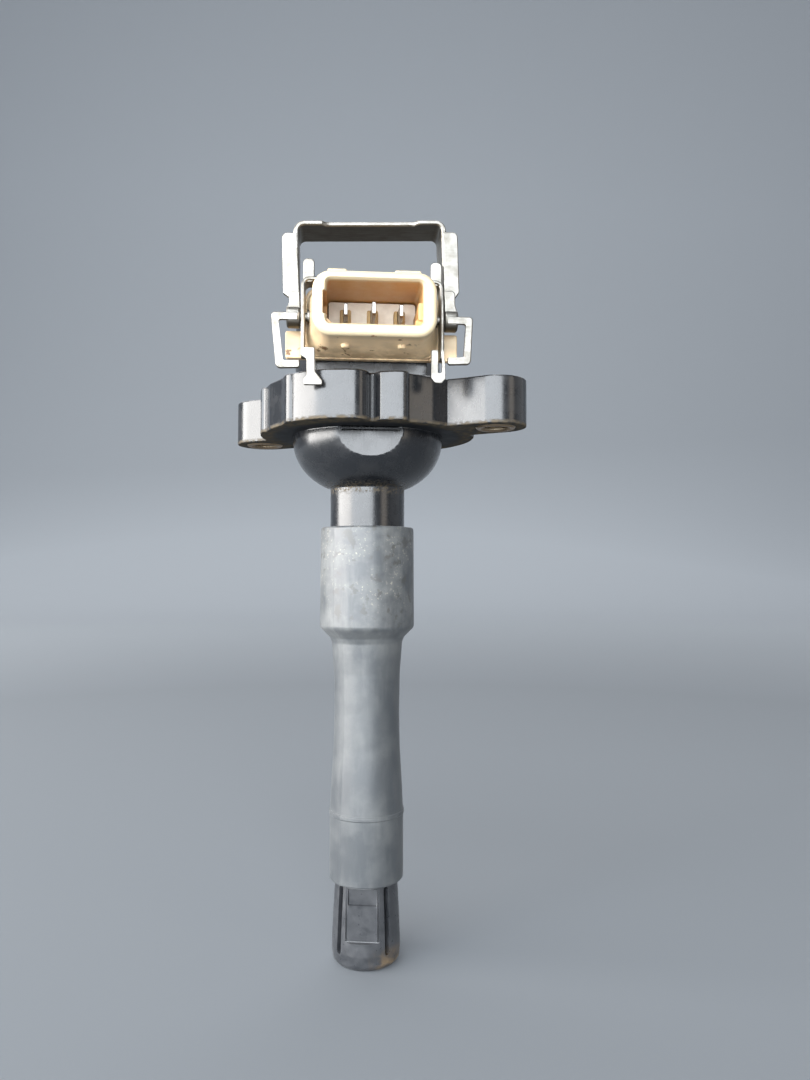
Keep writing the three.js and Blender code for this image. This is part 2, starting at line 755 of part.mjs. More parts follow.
group.add(
  piece("core_frame", coreFrame(), "core_steel"),
  piece("core_center_bar", coreCenterBar(), "core_steel"),
  piece("bias_magnet", biasMagnet(), "magnet"),
  piece("primary_bobbin", bobbin(PRIMARY), "bobbin_plastic"),
  piece("primary_winding", winding(PRIMARY), "copper"),
  piece("secondary_bobbin", bobbin(SECONDARY), "bobbin_plastic"),
  piece("secondary_winding", winding(SECONDARY), "copper"),
  piece("primary_lead_left", primaryLead(-1), "copper"),
  piece("primary_lead_right", primaryLead(1), "copper"),
  piece("secondary_lead", secondaryLead(), "copper"),
);

group.add(
  piece("hv_terminal", hvTerminal(), "brass"),
  piece("suppression_resistor", suppressionResistor(), "ceramic"),
  piece("contact_spring", contactSpring(), "plated_steel"),
  piece("plug_contact", plugContact(), "brass"),
  piece("rubber_boot", rubberBoot(), "boot_rubber"),
  piece("plug_end_collet", plugEndCollet(), "tip_plastic"),
);

group.add(
  piece("connector_shell", connectorShell(), "cream_plastic"),
  piece("terminal_carrier", terminalCarrier(), "grey_plastic"),
  piece("terminal_pin_left", terminalPin(-BLADE.pitch, 0), "plated_steel"),
  piece("terminal_pin_center", terminalPin(0, CENTER_BLADE_EXTRA), "plated_steel"),
  piece("terminal_pin_right", terminalPin(BLADE.pitch, 0), "plated_steel"),
  piece("connector_bracket", connectorBracket(), "plated_steel"),
  piece("pivot_pin_right", pivotPin(1), "plated_steel"),
  piece("pivot_pin_left", pivotPin(-1), "plated_steel"),
);

const bailHinge = new THREE.Group();
bailHinge.position.set(0, PIVOT.y, PIVOT.z);
bailHinge.add(piece("locking_bail", lockingBail(), "plated_steel"));
group.add(bailHinge);

export default group;
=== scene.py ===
"""The looks of a coil-on-plug ignition coil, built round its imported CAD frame."""

import json
import math

import bmesh
import bpy
from mathutils import Matrix, Vector


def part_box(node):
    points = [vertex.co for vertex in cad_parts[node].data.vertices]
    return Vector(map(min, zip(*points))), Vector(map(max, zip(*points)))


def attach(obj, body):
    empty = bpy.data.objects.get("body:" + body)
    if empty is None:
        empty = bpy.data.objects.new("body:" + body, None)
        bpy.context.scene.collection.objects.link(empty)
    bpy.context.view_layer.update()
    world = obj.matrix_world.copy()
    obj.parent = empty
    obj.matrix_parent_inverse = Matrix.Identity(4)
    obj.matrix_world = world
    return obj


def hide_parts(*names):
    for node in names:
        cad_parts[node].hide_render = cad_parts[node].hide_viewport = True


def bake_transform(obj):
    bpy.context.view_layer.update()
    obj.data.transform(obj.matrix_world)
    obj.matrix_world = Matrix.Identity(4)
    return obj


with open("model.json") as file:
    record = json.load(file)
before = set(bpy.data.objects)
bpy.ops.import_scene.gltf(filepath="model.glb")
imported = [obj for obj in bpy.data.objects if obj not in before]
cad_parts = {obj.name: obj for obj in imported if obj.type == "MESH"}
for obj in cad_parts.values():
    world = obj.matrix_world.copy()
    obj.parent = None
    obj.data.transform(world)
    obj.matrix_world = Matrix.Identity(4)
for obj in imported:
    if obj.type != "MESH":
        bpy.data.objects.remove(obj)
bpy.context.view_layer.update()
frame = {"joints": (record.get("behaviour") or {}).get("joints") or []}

MM = 0.001
COIL = "coil"
BAIL = "bail"
CONTACT = "plug_contact"


# ---------- places read from the frame, in millimetres ----------

def box_mm(node):
    low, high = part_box(node)
    return low / MM, high / MM


def joint(name):
    return next(j for j in frame["joints"] if j["name"] == name)


HOUSING_LOW, HOUSING_HIGH = box_mm("housing")
BOOT_LOW, BOOT_HIGH = box_mm("rubber_boot")
TIP_LOW, TIP_HIGH = box_mm("plug_end_collet")
SHELL_LOW, SHELL_HIGH = box_mm("connector_shell")
BAIL_LOW, BAIL_HIGH = box_mm("locking_bail")
BUSH_LOW, BUSH_HIGH = box_mm("ear_bushing_right")
BRACKET_LOW, BRACKET_HIGH = box_mm("connector_bracket")
SPRING_LOW, SPRING_HIGH = box_mm("contact_spring")
PIVOT = Vector(joint("bail_hinge")["pos_m"]) / MM
RIGHT_EAR = sum(box_mm("ear_bushing_right"), Vector()) / 2
LEFT_EAR = sum(box_mm("ear_bushing_left"), Vector()) / 2

FLANGE_R = HOUSING_HIGH.y
FLANGE_BOTTOM = 0.3
FLANGE_TOP = 11.8
LARGE_FILLET = 0.45
SMALL_FILLET = 0.3
EAR_R = HOUSING_HIGH.x - RIGHT_EAR.x
DOME_R = 19.6
DOME_DEPTH = 14.9
DOME_POWER = 2.2    # a little squarer than an ellipse
FACET_Y = -18.0
FACET_HALF = 12.0
FACET_LOW = -7.5
SLOT_HALF = 7.1
NECK_R = 9.7
NECK_BORE = 5.0
NECK_FLOOR = -13.0
PIN_BORE = 2.1
POCKET_R = 12.0
POCKET_FLOOR = -6.0
POCKET_TOP = 0.8
TOWER_R = 19.0
TOWER_BORE = 17.0
TOWER_TOP = HOUSING_HIGH.z
PAD_REAR = -12.0
BUSH_SEAT = 5.05
BOOT_R = BOOT_HIGH.x
SHEET = 0.9
BAIL_SHEET = 1.1
ARM_INNER = 16.7
BARREL_R = 2.6
PITCH = 6.3
BLADE_Z = 24.3
MOUTH_HALF = 10.55
MOUTH_LOW = 19.4
MOUTH_HIGH = 28.85
COLLAR_FRONT = -24.5
CARRIER_FRONT = -24.0
EYE_BORE = 1.3
BARREL_END = 19.9


# ---------- outlines ----------

def rounded(points, closed=True, steps=6):
    """The points of a polyline whose corners are rounded by each point's third number."""
    count = len(points)
    result = []
    for i, point in enumerate(points):
        here = Vector(point[:2])
        radius = point[2] if len(point) > 2 else 0
        if not radius or (not closed and i in (0, count - 1)):
            result.append(here)
            continue
        back = (Vector(points[i - 1][:2]) - here).normalized()
        ahead = (Vector(points[(i + 1) % count][:2]) - here).normalized()
        half = back.angle(ahead) / 2
        centre = here + (back + ahead).normalized() * radius / math.sin(half)
        start = here + back * radius / math.tan(half) - centre
        end = here + ahead * radius / math.tan(half) - centre
        turn = math.atan2(start.x * end.y - start.y * end.x, start.dot(end))
        for k in range(steps + 1):
            a = turn * k / steps
            c, s = math.cos(a), math.sin(a)
            result.append(centre + Vector((start.x * c - start.y * s, start.x * s + start.y * c)))
    return result


def arc(cx, cy, r, start, end, steps):
    """Points on a circle, angles in degrees."""
    angles = [math.radians(start + (end - start) * k / steps) for k in range(steps + 1)]
    return [Vector((cx + r * math.cos(a), cy + r * math.sin(a))) for a in angles]


def curve_through(a, control, b, steps=12):
    """Points on the curve from a to b that is drawn towards the control point."""
    a, control, b = Vector(a), Vector(control), Vector(b)
    shares = [k / steps for k in range(steps + 1)]
    return [a * (1 - t) ** 2 + control * 2 * t * (1 - t) + b * t * t for t in shares]


def rectangle(x0, x1, y0, y1, r, steps=8):
    """A rectangle with rounded corners."""
    return rounded([(x1, y0, r), (x1, y1, r), (x0, y1, r), (x0, y0, r)], steps=steps)


def densified(points, pitch):
    """The polyline with extra points on its long stretches, about a pitch apart."""
    dense = []
    for a, b in zip(points, points[1:]):
        parts = max(1, int((a - b).length / pitch))
        dense += [a.lerp(b, k / parts) for k in range(parts)]
    return dense + [points[-1]]


def inset(outline, distance):
    """The outline moved inwards by a distance, corner by corner."""
    area = sum(a.x * b.y - a.y * b.x for a, b in zip(outline, outline[1:] + outline[:1]))
    side = 1 if area > 0 else -1
    moved = []
    for i, here in enumerate(outline):
        back = (here - outline[i - 1]).normalized()
        ahead = (outline[(i + 1) % len(outline)] - here).normalized()
        normal_a = Vector((-back.y, back.x)) * side
        normal_b = Vector((-ahead.y, ahead.x)) * side
        middle = normal_a + normal_b
        if middle.length < 1e-6:
            moved.append(here.copy())
            continue
        middle.normalize()
        moved.append(here + middle * distance / max(0.5, middle.dot(normal_a)))
    return moved


# ---------- meshes ----------

UPRIGHT = Matrix(((1, 0, 0), (0, 1, 0), (0, 0, 1)))
FACING = Matrix(((1, 0, 0), (0, 0, 1), (0, 1, 0)))      # (u, v, w) lies at x, z, y
SIDEWAYS = Matrix(((0, 0, 1), (1, 0, 0), (0, 1, 0)))    # (u, v, w) lies at y, z, x


def placed(name, data):
    """A new object in the scene for a mesh, a light or a camera."""
    obj = bpy.data.objects.new(name, data)
    bpy.context.scene.collection.objects.link(obj)
    return obj


def make(name, verts, faces):
    """A closed mesh from points in millimetres, its faces turned outwards."""
    mesh = bpy.data.meshes.new(name)
    mesh.from_pydata([Vector(v) * MM for v in verts], [], faces)
    bm = bmesh.new()
    bm.from_mesh(mesh)
    bmesh.ops.remove_doubles(bm, verts=bm.verts, dist=1e-7)
    bmesh.ops.recalc_face_normals(bm, faces=bm.faces)
    bm.to_mesh(mesh)
    bm.free()
    return placed(name, mesh)


def skin(rings, loop_rings=False):
    """Faces between rings of equal length, with a face on each end unless the rings close on themselves."""
    n = len(rings[0])
    verts = [p for ring in rings for p in ring]
    faces = []
    last = len(rings) if loop_rings else len(rings) - 1
    for r in range(last):
        a, b = r * n, ((r + 1) % len(rings)) * n
        faces += [(a + i, a + (i + 1) % n, b + (i + 1) % n, b + i) for i in range(n)]
    if not loop_rings:
        faces.append(tuple(range(n)))
        faces.append(tuple(range((len(rings) - 1) * n, len(rings) * n)))
    return verts, faces


def turned(name, profile, segments=96, closed=False):
    """A profile of (radius, z) points turned about Z; it starts and ends on the axis, or closes on itself."""
    angles = [2 * math.pi * k / segments for k in range(segments)]
    rings = [[(p[0] * math.cos(a), p[0] * math.sin(a), p[1]) for a in angles] for p in profile]
    return make(name, *skin(rings, loop_rings=closed))


def prism(name, outline, low, high, turn=UPRIGHT, fillet=0.0, steps=3, low_fillet=None):
    """An outline raised from low to high, with its two rims rounded."""
    low_fillet = fillet if low_fillet is None else low_fillet
    levels = []
    for rim, radius, sign in ((low, low_fillet, 1), (high, fillet, -1)):
        span = [k / steps for k in range(steps + 1)] if radius else [1.0]
        part = []
        for t in span:
            angle = t * math.pi / 2
            part.append((radius * (1 - math.sin(angle)), rim + sign * radius * (1 - math.cos(angle))))
        levels += part if sign > 0 else part[::-1]
    rings = []
    for depth, w in levels:
        ring = inset(outline, depth) if depth > 1e-9 else outline
        rings.append([turn @ Vector((p.x, p.y, w)) for p in ring])
    return make(name, *skin(rings))


def slab(name, outline, front, rear, **rims):
    """An outline as seen from the front, (x, z), raised from front to rear."""
    return prism(name, outline, front, rear, turn=FACING, **rims)


def facing_ring(outline, y):
    """The points of an outline as seen from the front, at that y."""
    return [FACING @ Vector((p.x, p.y, y)) for p in outline]


def drill(radius, low, high, segments=96):
    """A round solid about Z, to be carved out of another."""
    return turned("drill", [(0, low), (radius, low), (radius, high), (0, high)], segments)


def bake(obj):
    """Applies every modifier."""
    bpy.context.view_layer.update()
    seen = obj.evaluated_get(bpy.context.evaluated_depsgraph_get())
    mesh = bpy.data.meshes.new_from_object(seen)
    obj.modifiers.clear()
    obj.data = mesh
    return obj


def combine(obj, tools, operation):
    """Joins the tools to a mesh or takes them out of it, one after the other, and removes them."""
    for tool in tools:
        step = obj.modifiers.new("combine", "BOOLEAN")
        step.operation = operation
        step.solver = "MANIFOLD"
        step.object = tool
        bake(obj)
        bpy.data.objects.remove(tool)
    return obj


def fuse(obj, *tools):
    return combine(obj, tools, "UNION")


def carve(obj, *tools):
    return combine(obj, tools, "DIFFERENCE")


def soften(obj, width, angle=32, segments=2):
    """A small round on every edge sharper than the angle."""
    bevel = obj.modifiers.new("edge", "BEVEL")
    bevel.width = width * MM
    bevel.segments = segments
    bevel.limit_method = "ANGLE"
    bevel.angle_limit = math.radians(angle)
    bevel.use_clamp_overlap = True
    bevel.miter_outer = "MITER_ARC"
    return bake(obj)


def shade(obj, angle=30):
    """Smooth shading with the flat faces kept flat."""
    mesh = obj.data
    mesh.polygons.foreach_set("use_smooth", [True] * len(mesh.polygons))
    mesh.set_sharp_from_angle(angle=math.radians(angle))
    weighted = obj.modifiers.new("normals", "WEIGHTED_NORMAL")
    weighted.keep_sharp = True
    weighted.weight = 90
    return bake(obj)


def mirrored(obj, name):
    """A copy on the other side of the middle plane."""
    copy = placed(name, obj.data.copy())
    copy.data.transform(Matrix.Scale(-1, 4, (1, 0, 0)))
    copy.data.flip_normals()
    return copy


def moved(obj, x=0.0, y=0.0, z=0.0, turn=0.0):
    """Turns the mesh about Z by degrees, then shifts it by millimetres."""
    shift = Matrix.Translation(Vector((x, y, z)) * MM)
    obj.data.transform(shift @ Matrix.Rotation(math.radians(turn), 4, "Z"))
    return obj


def show(obj, material, body, slot, *nodes):
    """Gives a piece its material and its body, and hides the CAD nodes that it stands for; its slot is not
    used.
    """
    obj.data.materials.clear()
    obj.data.materials.append(material)
    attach(obj, body)
    if nodes:
        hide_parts(*nodes)
    return obj


# ---------- materials ----------

class Recipe:
    """A node material, built a few nodes at a time."""

    def __init__(self, name, **shader):
        self.material = bpy.data.materials.new(name)
        self.material.use_nodes = True
        self.nodes = self.material.node_tree.nodes
        self.links = self.material.node_tree.links
        self.shader = self.nodes["Principled BSDF"]
        for socket, value in shader.items():
            self.shader.inputs[socket.replace("_", " ")].default_value = value
        self.place = self.nodes.new("ShaderNodeTexCoord").outputs["Object"]

    def node(self, kind, inputs=(), **settings):
        made = self.nodes.new(kind)
        for key, value in settings.items():
            setattr(made, key, value)
        for socket, value in dict(inputs).items():
            target = made.inputs[socket]
            if isinstance(value, bpy.types.NodeSocket):
                self.links.new(value, target)
            else:
                target.default_value = value
        return made

    def noise(self, scale, detail=4.0, roughness=0.55, stretch=(1, 1, 1)):
        place = self.place
        if stretch != (1, 1, 1):
            place = self.node("ShaderNodeMapping", {"Vector": place, "Scale": stretch}).outputs[0]
        inputs = {"Vector": place, "Scale": scale, "Detail": detail, "Roughness": roughness}
        return self.node("ShaderNodeTexNoise", inputs).outputs["Fac"]

    def between(self, value, low, high, out_low=0.0, out_high=1.0):
        """The value spread from out_low at low to out_high at high, and held outside them."""
        inputs = {"Value": value, "From Min": low, "From Max": high, "To Min": out_low, "To Max": out_high}
        return self.node("ShaderNodeMapRange", inputs, clamp=True).outputs[0]

    def math(self, operation, a, b=0.0):
        made = self.node("ShaderNodeMath", operation=operation)
        for socket, value in zip(made.inputs, (a, b)):
            if isinstance(value, bpy.types.NodeSocket):
                self.links.new(value, socket)
            else:
                socket.default_value = value
        return made.outputs[0]

    def times(self, a, b):
        return self.math("MULTIPLY", a, b)

    def length(self, a, b):
        return self.math("SQRT", self.math("ADD", self.times(a, a), self.times(b, b)))

    def roughen(self, scale, low, high):
        """A roughness that wanders between low and high."""
        self.use("Roughness", self.between(self.noise(scale), 0.3, 0.7, low, high))

    def axis(self, letter):
        return self.node("ShaderNodeSeparateXYZ", {"Vector": self.place}).outputs[letter]

    def normal_axis(self, letter):
        normal = self.node("ShaderNodeNewGeometry").outputs["Normal"]
        return self.node("ShaderNodeSeparateXYZ", {"Vector": normal}).outputs[letter]

    def mix(self, share, a, b):
        made = self.node("ShaderNodeMix", data_type="RGBA")
        for socket, value in ((made.inputs[0], share), (made.inputs[6], a), (made.inputs[7], b)):
            if isinstance(value, bpy.types.NodeSocket):
                self.links.new(value, socket)
            else:
                socket.default_value = value if isinstance(value, float) else (*value, 1.0)
        return made.outputs[2]

    def bump(self, height, depth_mm, strength=1.0):
        """Adds a bump of that depth to what the shader has already."""
        inputs = {"Height": height, "Distance": depth_mm * MM, "Strength": strength}
        made = self.node("ShaderNodeBump", inputs)
        before = self.shader.inputs["Normal"].links
        if before:
            self.links.new(before[0].from_socket, made.inputs["Normal"])
        self.links.new(made.outputs[0], self.shader.inputs["Normal"])

    def use(self, socket, value):
        self.links.new(value, self.shader.inputs[socket])


def black_gloss():
    """Glossy moulded plastic: faint mottling and scratches, grime at the flange's lower rim and the neck."""
    r = Recipe("black_gloss", Coat_Roughness=0.2)
    x, y, z = r.axis("X"), r.axis("Y"), r.axis("Z")
    away = r.length(x, y)
    mottle = r.noise(220, detail=5)
    fine = r.noise(2600, detail=3)
    scratch = r.noise(420, detail=2, stretch=(9, 9, 0.6))
    under = r.times(r.between(r.normal_axis("Z"), -0.8, -0.95), r.between(z, -0.001, 0.0))
    rim = r.times(r.between(z, 0.0013, 0.0007), r.between(away, 0.0235, 0.0255))
    ring = r.times(r.between(z, -0.0118, -0.0132), r.between(z, -0.0154, -0.0142))
    dirt = r.times(rim, r.between(r.noise(700, detail=6), 0.36, 0.58))
    specks = r.times(ring, r.between(r.noise(1500, detail=6), 0.48, 0.6))
    dirt = r.math("MAXIMUM", r.times(dirt, 0.8), r.times(specks, 0.6))
    film = r.between(mottle, 0.48, 0.75, 0.0, 0.5)
    plastic = r.mix(film, (0.008, 0.009, 0.011), (0.026, 0.026, 0.027))
    r.use("Base Color", r.mix(dirt, plastic, (0.12, 0.095, 0.062)))
    rough = r.between(mottle, 0.35, 0.7, 0.21, 0.33)
    rough = r.math("ADD", rough, r.between(scratch, 0.55, 0.75, 0.0, 0.05))
    rough = r.math("ADD", rough, r.times(under, 0.35))
    r.use("Roughness", r.math("ADD", rough, r.times(dirt, 0.5)))
    dull = r.math("MAXIMUM", under, dirt)
    r.use("Specular IOR Level", r.between(dull, 0.0, 1.0, 0.6, 0.15))
    r.use("Coat Weight", r.between(dull, 0.0, 0.5, 0.4, 0.0))
    r.bump(fine, 0.005)
    r.bump(scratch, 0.002)
    return r.material


def cover_plastic():
    """Satin moulded plastic with a fine grain."""
    r = Recipe("cover_plastic", Specular_IOR_Level=0.5)
    mottle = r.noise(260, detail=5)
    r.use("Base Color", r.mix(r.between(mottle, 0.35, 0.7), (0.016, 0.017, 0.019), (0.045, 0.045, 0.046)))
    r.roughen(700, 0.3, 0.48)
    r.bump(r.noise(3200, detail=2), 0.012)
    return r.material


def tip_plastic():
    """Satin black with a rusty brown stain on the lower rim's right side."""
    r = Recipe("tip_plastic", Specular_IOR_Level=0.8)
    x, z = r.axis("X"), r.axis("Z")
    mottle = r.noise(300, detail=5)
    plastic = r.mix(r.between(mottle, 0.35, 0.7), (0.026, 0.028, 0.032), (0.055, 0.057, 0.062))
    stain = r.times(r.between(x, 0.0, 0.006), r.between(z, -0.129, -0.1325))
    stain = r.times(stain, r.between(r.noise(420, detail=6), 0.36, 0.58))
    r.use("Base Color", r.mix(r.times(stain, 0.85), plastic, (0.22, 0.15, 0.08)))
    r.roughen(800, 0.26, 0.42)
    r.bump(r.noise(2600, detail=3), 0.012)
    return r.material


def boot_rubber():
    """Matte silicone rubber: pale dusty smudges, a few rubbed spots and a soft grain."""
    r = Recipe("boot_rubber", Specular_IOR_Level=0.9, Sheen_Weight=0.06, Sheen_Roughness=0.5)
    z = r.axis("Z")
    cloudy = r.noise(110, detail=6, roughness=0.6)
    streak = r.noise(260, detail=4, stretch=(2.2, 2.2, 0.35))
    speck = r.noise(1500, detail=3)
    dust = r.math("ADD", r.between(cloudy, 0.42, 0.66, 0.0, 0.7), r.between(streak, 0.5, 0.8, 0.0, 0.4))
    dust = r.times(dust, r.between(z, -0.06, -0.05, 0.5, 1.0))
    rubber = r.mix(dust, (0.046, 0.052, 0.058), (0.15, 0.155, 0.152))
    spots = r.times(r.between(speck, 0.6, 0.66), r.between(cloudy, 0.46, 0.58))
    spots = r.times(spots, r.between(z, -0.046, -0.042))
    rubber = r.mix(spots, rubber, (0.25, 0.24, 0.2))
    marks = r.between(r.noise(340, detail=4), 0.56, 0.62)
    marks = r.times(marks, r.between(z, -0.052, -0.046, 0.0, 0.85))
    r.use("Base Color", r.mix(marks, rubber, (0.045, 0.045, 0.042)))
    r.use("Roughness", r.between(cloudy, 0.3, 0.7, 0.38, 0.55))
    r.bump(r.noise(1900, detail=4), 0.02)
    r.bump(streak, 0.05)
    return r.material


def cream_plastic():
    """Aged cream nylon, paler at the rim, orange in the mouth, with small marks, and painted light that makes
    the underside a lighter tan.
    """
    r = Recipe("cream_plastic", Specular_IOR_Level=0.5, Subsurface_Weight=0.08, Subsurface_Scale=0.002)
    r.shader.inputs["Subsurface Radius"].default_value = (1.0, 0.6, 0.3)
    x, y, z = r.axis("X"), r.axis("Y"), r.axis("Z")
    mottle = r.noise(240, detail=5)
    tan = r.mix(r.between(mottle, 0.3, 0.7), (0.56, 0.4, 0.23), (0.62, 0.48, 0.3))
    cream = r.mix(r.between(y, -0.0376, -0.0387), tan, (0.54, 0.45, 0.295))
    wide = r.math("ABSOLUTE", x)
    inside = r.times(r.between(wide, 0.0117, 0.0112), r.between(z, 0.0188, 0.0192))
    inside = r.times(inside, r.between(z, 0.0294, 0.029))
    inside = r.times(inside, r.between(y, -0.0386, -0.0372))
    shell_colour = r.mix(inside, cream, (0.52, 0.29, 0.105))
    # painted light: the underside behind the rim is made a much lighter tan, as if lit from below
    under = r.times(r.between(z, 0.0185, 0.0165), r.between(y, -0.038, -0.035))
    shell_colour = r.mix(r.times(under, 0.9), shell_colour, (0.95, 0.7, 0.42))
    low_seam = r.times(r.between(z, 0.0168, 0.0156), r.between(mottle, 0.38, 0.6))
    marks = r.times(r.between(r.noise(330, detail=3), 0.62, 0.67), r.between(z, 0.0185, 0.017))
    dirt = r.math("MINIMUM", r.math("ADD", r.times(low_seam, 0.6), marks), 1.0)
    r.use("Base Color", r.mix(dirt, shell_colour, (0.24, 0.13, 0.055)))
    r.roughen(600, 0.32, 0.5)
    r.bump(r.noise(1700, detail=3), 0.012)
    return r.material


def carrier_plastic():
    """Light greyish beige back wall, with brown seats standing out of it."""
    r = Recipe("carrier_plastic")
    y = r.axis("Y")
    seat = r.between(y, -0.0242, -0.0246)
    wall = r.mix(r.between(r.noise(500), 0.35, 0.7), (0.74, 0.67, 0.56), (0.86, 0.79, 0.68))
    r.use("Base Color", r.mix(seat, wall, (0.4, 0.26, 0.1)))
    r.roughen(900, 0.45, 0.65)
    r.bump(r.noise(2200), 0.015)
    return r.material


def sheet_steel(name, clean, tarnish_and_shade, low=0.2, high=0.42, amount=0.5):
    """Plated sheet steel: rolled grain, dull blotches, brown specks, and painted shade that darkens what faces
    down.
    """
    r = Recipe(name, Metallic=1.0)
    blotch = r.noise(260, detail=6, roughness=0.6)
    grain = r.noise(900, detail=3, stretch=(0.25, 3, 3))
    speck = r.noise(2100, detail=2)
    dull = r.times(r.between(blotch, 0.45, 0.7), amount)
    # painted shade: faces that point down are darkened towards the darker colour, as if in shade
    down = r.between(r.normal_axis("Z"), -0.3, -0.8, 0.0, 0.9)
    base = r.mix(r.math("MAXIMUM", dull, down), clean, tarnish_and_shade)
    spots = r.times(r.between(speck, 0.66, 0.73), r.between(blotch, 0.5, 0.65, 0.0, 0.8))
    r.use("Base Color", r.mix(spots, base, (0.16, 0.1, 0.055)))
    r.use("Roughness", r.math("ADD", r.between(grain, 0.3, 0.7, low, high), r.times(dull, 0.25)))
    r.bump(grain, 0.01)
    r.bump(speck, 0.006)
    return r.material


def plain_moulded(name, dark, light, scale=300, low=0.4, high=0.6):
    """A moulded or cast surface with two tones and a fine grain."""
    r = Recipe(name)
    r.use("Base Color", r.mix(r.between(r.noise(scale, detail=5), 0.35, 0.65), dark, light))
    r.roughen(3 * scale, low, high)
    r.bump(r.noise(8 * scale, detail=3), 0.012)
    return r.material


def layered(name, axis, pitch_mm, dark, light):
    """Metal with fine parallel ridges across one axis, as in wound wire or stacked sheets."""
    r = Recipe(name, Metallic=0.9)
    across = r.times(r.axis(axis), 2 * math.pi / (pitch_mm * MM))
    ridge = r.between(r.math("SINE", across), -1.0, 1.0)
    blotch = r.between(r.noise(400, detail=4), 0.35, 0.65)
    r.use("Base Color", r.mix(r.times(ridge, blotch), dark, light))
    r.roughen(900, 0.3, 0.5)
    r.bump(ridge, 0.05)
    return r.material


def capped_ceramic():
    """White ceramic body with a metal cap at each end."""
    r = Recipe("capped_ceramic")
    z = r.axis("Z")
    cap = r.math("MAXIMUM", r.between(z, -0.0521, -0.0519), r.between(z, -0.0674, -0.0676))
    body = r.mix(r.between(r.noise(500), 0.35, 0.65), (0.74, 0.7, 0.62), (0.82, 0.79, 0.72))
    r.use("Base Color", r.mix(cap, body, (0.62, 0.6, 0.56)))
    r.use("Metallic", cap)
    r.roughen(900, 0.3, 0.5)
    r.bump(r.noise(2600), 0.01)
    return r.material


# ---------- housing ----------

def flange_outline():
    """Round behind; in front a shallow hollow, a lobe, a groove, a second lobe and a slope up to the ear."""
    points = arc(0, 0, FLANGE_R, -10, 194.5, 96)
    hollow = [points[-1], (-26.2, -7.1, 1.2), (-24.7, -11.9, 4), (-21.5, -17.6, 3), (-20.7, -20.5)]
    points += rounded(hollow, closed=False, steps=5)[1:]
    points += curve_through((-20.7, -20.5), (-20.3, -22.5), (-18.7, -22.7))[1:]
    points += curve_through((-18.4, -23.2), (-12.8, -28.9), (-4.5, -28.85), 24)
    points += curve_through((-4.5, -28.85), (-1.1, -28.6), (-0.6, -25.4), 16)[1:]
    ridge = [(-0.6, -25.4), (-0.1, -25.0, 0.2), (0.4, -25.2, 0.2), (1.7, -27.0)]
    points += rounded(ridge, closed=False, steps=3)[1:]
    points += curve_through((1.7, -27.0), (4.3, -28.2), (7.3, -28.0), 16)[1:]
    points += curve_through((7.3, -28.0), (8.6, -27.6), (8.8, -25.2), 12)[1:]
    points += rounded([(8.8, -25.2), (14.6, -23.0, 6), (18.4, -20.4)], closed=False)[1:]
    return points


def raised_plate(name, outline):
    """An outline as thick as the flange, its top rim rounder than its lower one."""
    return prism(name, outline, FLANGE_BOTTOM, FLANGE_TOP, fillet=LARGE_FILLET, low_fillet=SMALL_FILLET)


def ear_solid(name, centre):
    """An ear: straight sides from inside the flange to a round end, clear of the tower's bore."""
    turn = math.degrees(math.atan2(centre.y, centre.x))
    reach = math.hypot(centre.x, centre.y)
    root = 12.0
    outline = arc(reach, 0, EAR_R, -90, 90, 48)
    outline += [Vector((root, EAR_R)), Vector((root, -EAR_R))]
    ear = moved(raised_plate(name, outline), turn=turn)
    return carve(ear, drill(TOWER_R - 0.5, -2, 20))


def dome_radius(z):
    return DOME_R * (1 - (-z / DOME_DEPTH) ** DOME_POWER) ** (1 / DOME_POWER)


def barrel_solid():
    """Dome, neck and tower in one turned body, hollow for the transformer, its leads and the terminal."""
    neck_end = HOUSING_LOW.z
    chamfer, cove_width, cove_height = 0.4, 1.0, 0.6
    shoulder, edge = 3.0, 0.3
    meet = -DOME_DEPTH * (1 - ((NECK_R + cove_width) / DOME_R) ** DOME_POWER) ** (1 / DOME_POWER)
    steps = 40
    dome = [(dome_radius(z), z) for z in (meet * (1 - k / steps) for k in range(1, steps + 1))]
    cove = [(NECK_R + cove_width * (1 - math.cos(a)), meet - cove_height * (1 - math.sin(a)))
            for a in (math.radians(90 * k / 6) for k in range(7))]
    profile = [(NECK_BORE, neck_end), (NECK_R - chamfer, neck_end), (NECK_R, neck_end + chamfer)]
    profile += cove + dome
    profile += [(DOME_R, shoulder), (TOWER_R, shoulder), (TOWER_R, TOWER_TOP - edge)]
    profile += [(TOWER_R - edge, TOWER_TOP), (TOWER_BORE, TOWER_TOP), (TOWER_BORE, POCKET_TOP)]
    profile.append((POCKET_R, POCKET_TOP))
    profile += [(POCKET_R, POCKET_FLOOR), (PIN_BORE, POCKET_FLOOR)]
    profile += [(PIN_BORE, NECK_FLOOR), (NECK_BORE, NECK_FLOOR)]
    return turned("housing_body", profile, 128, closed=True)


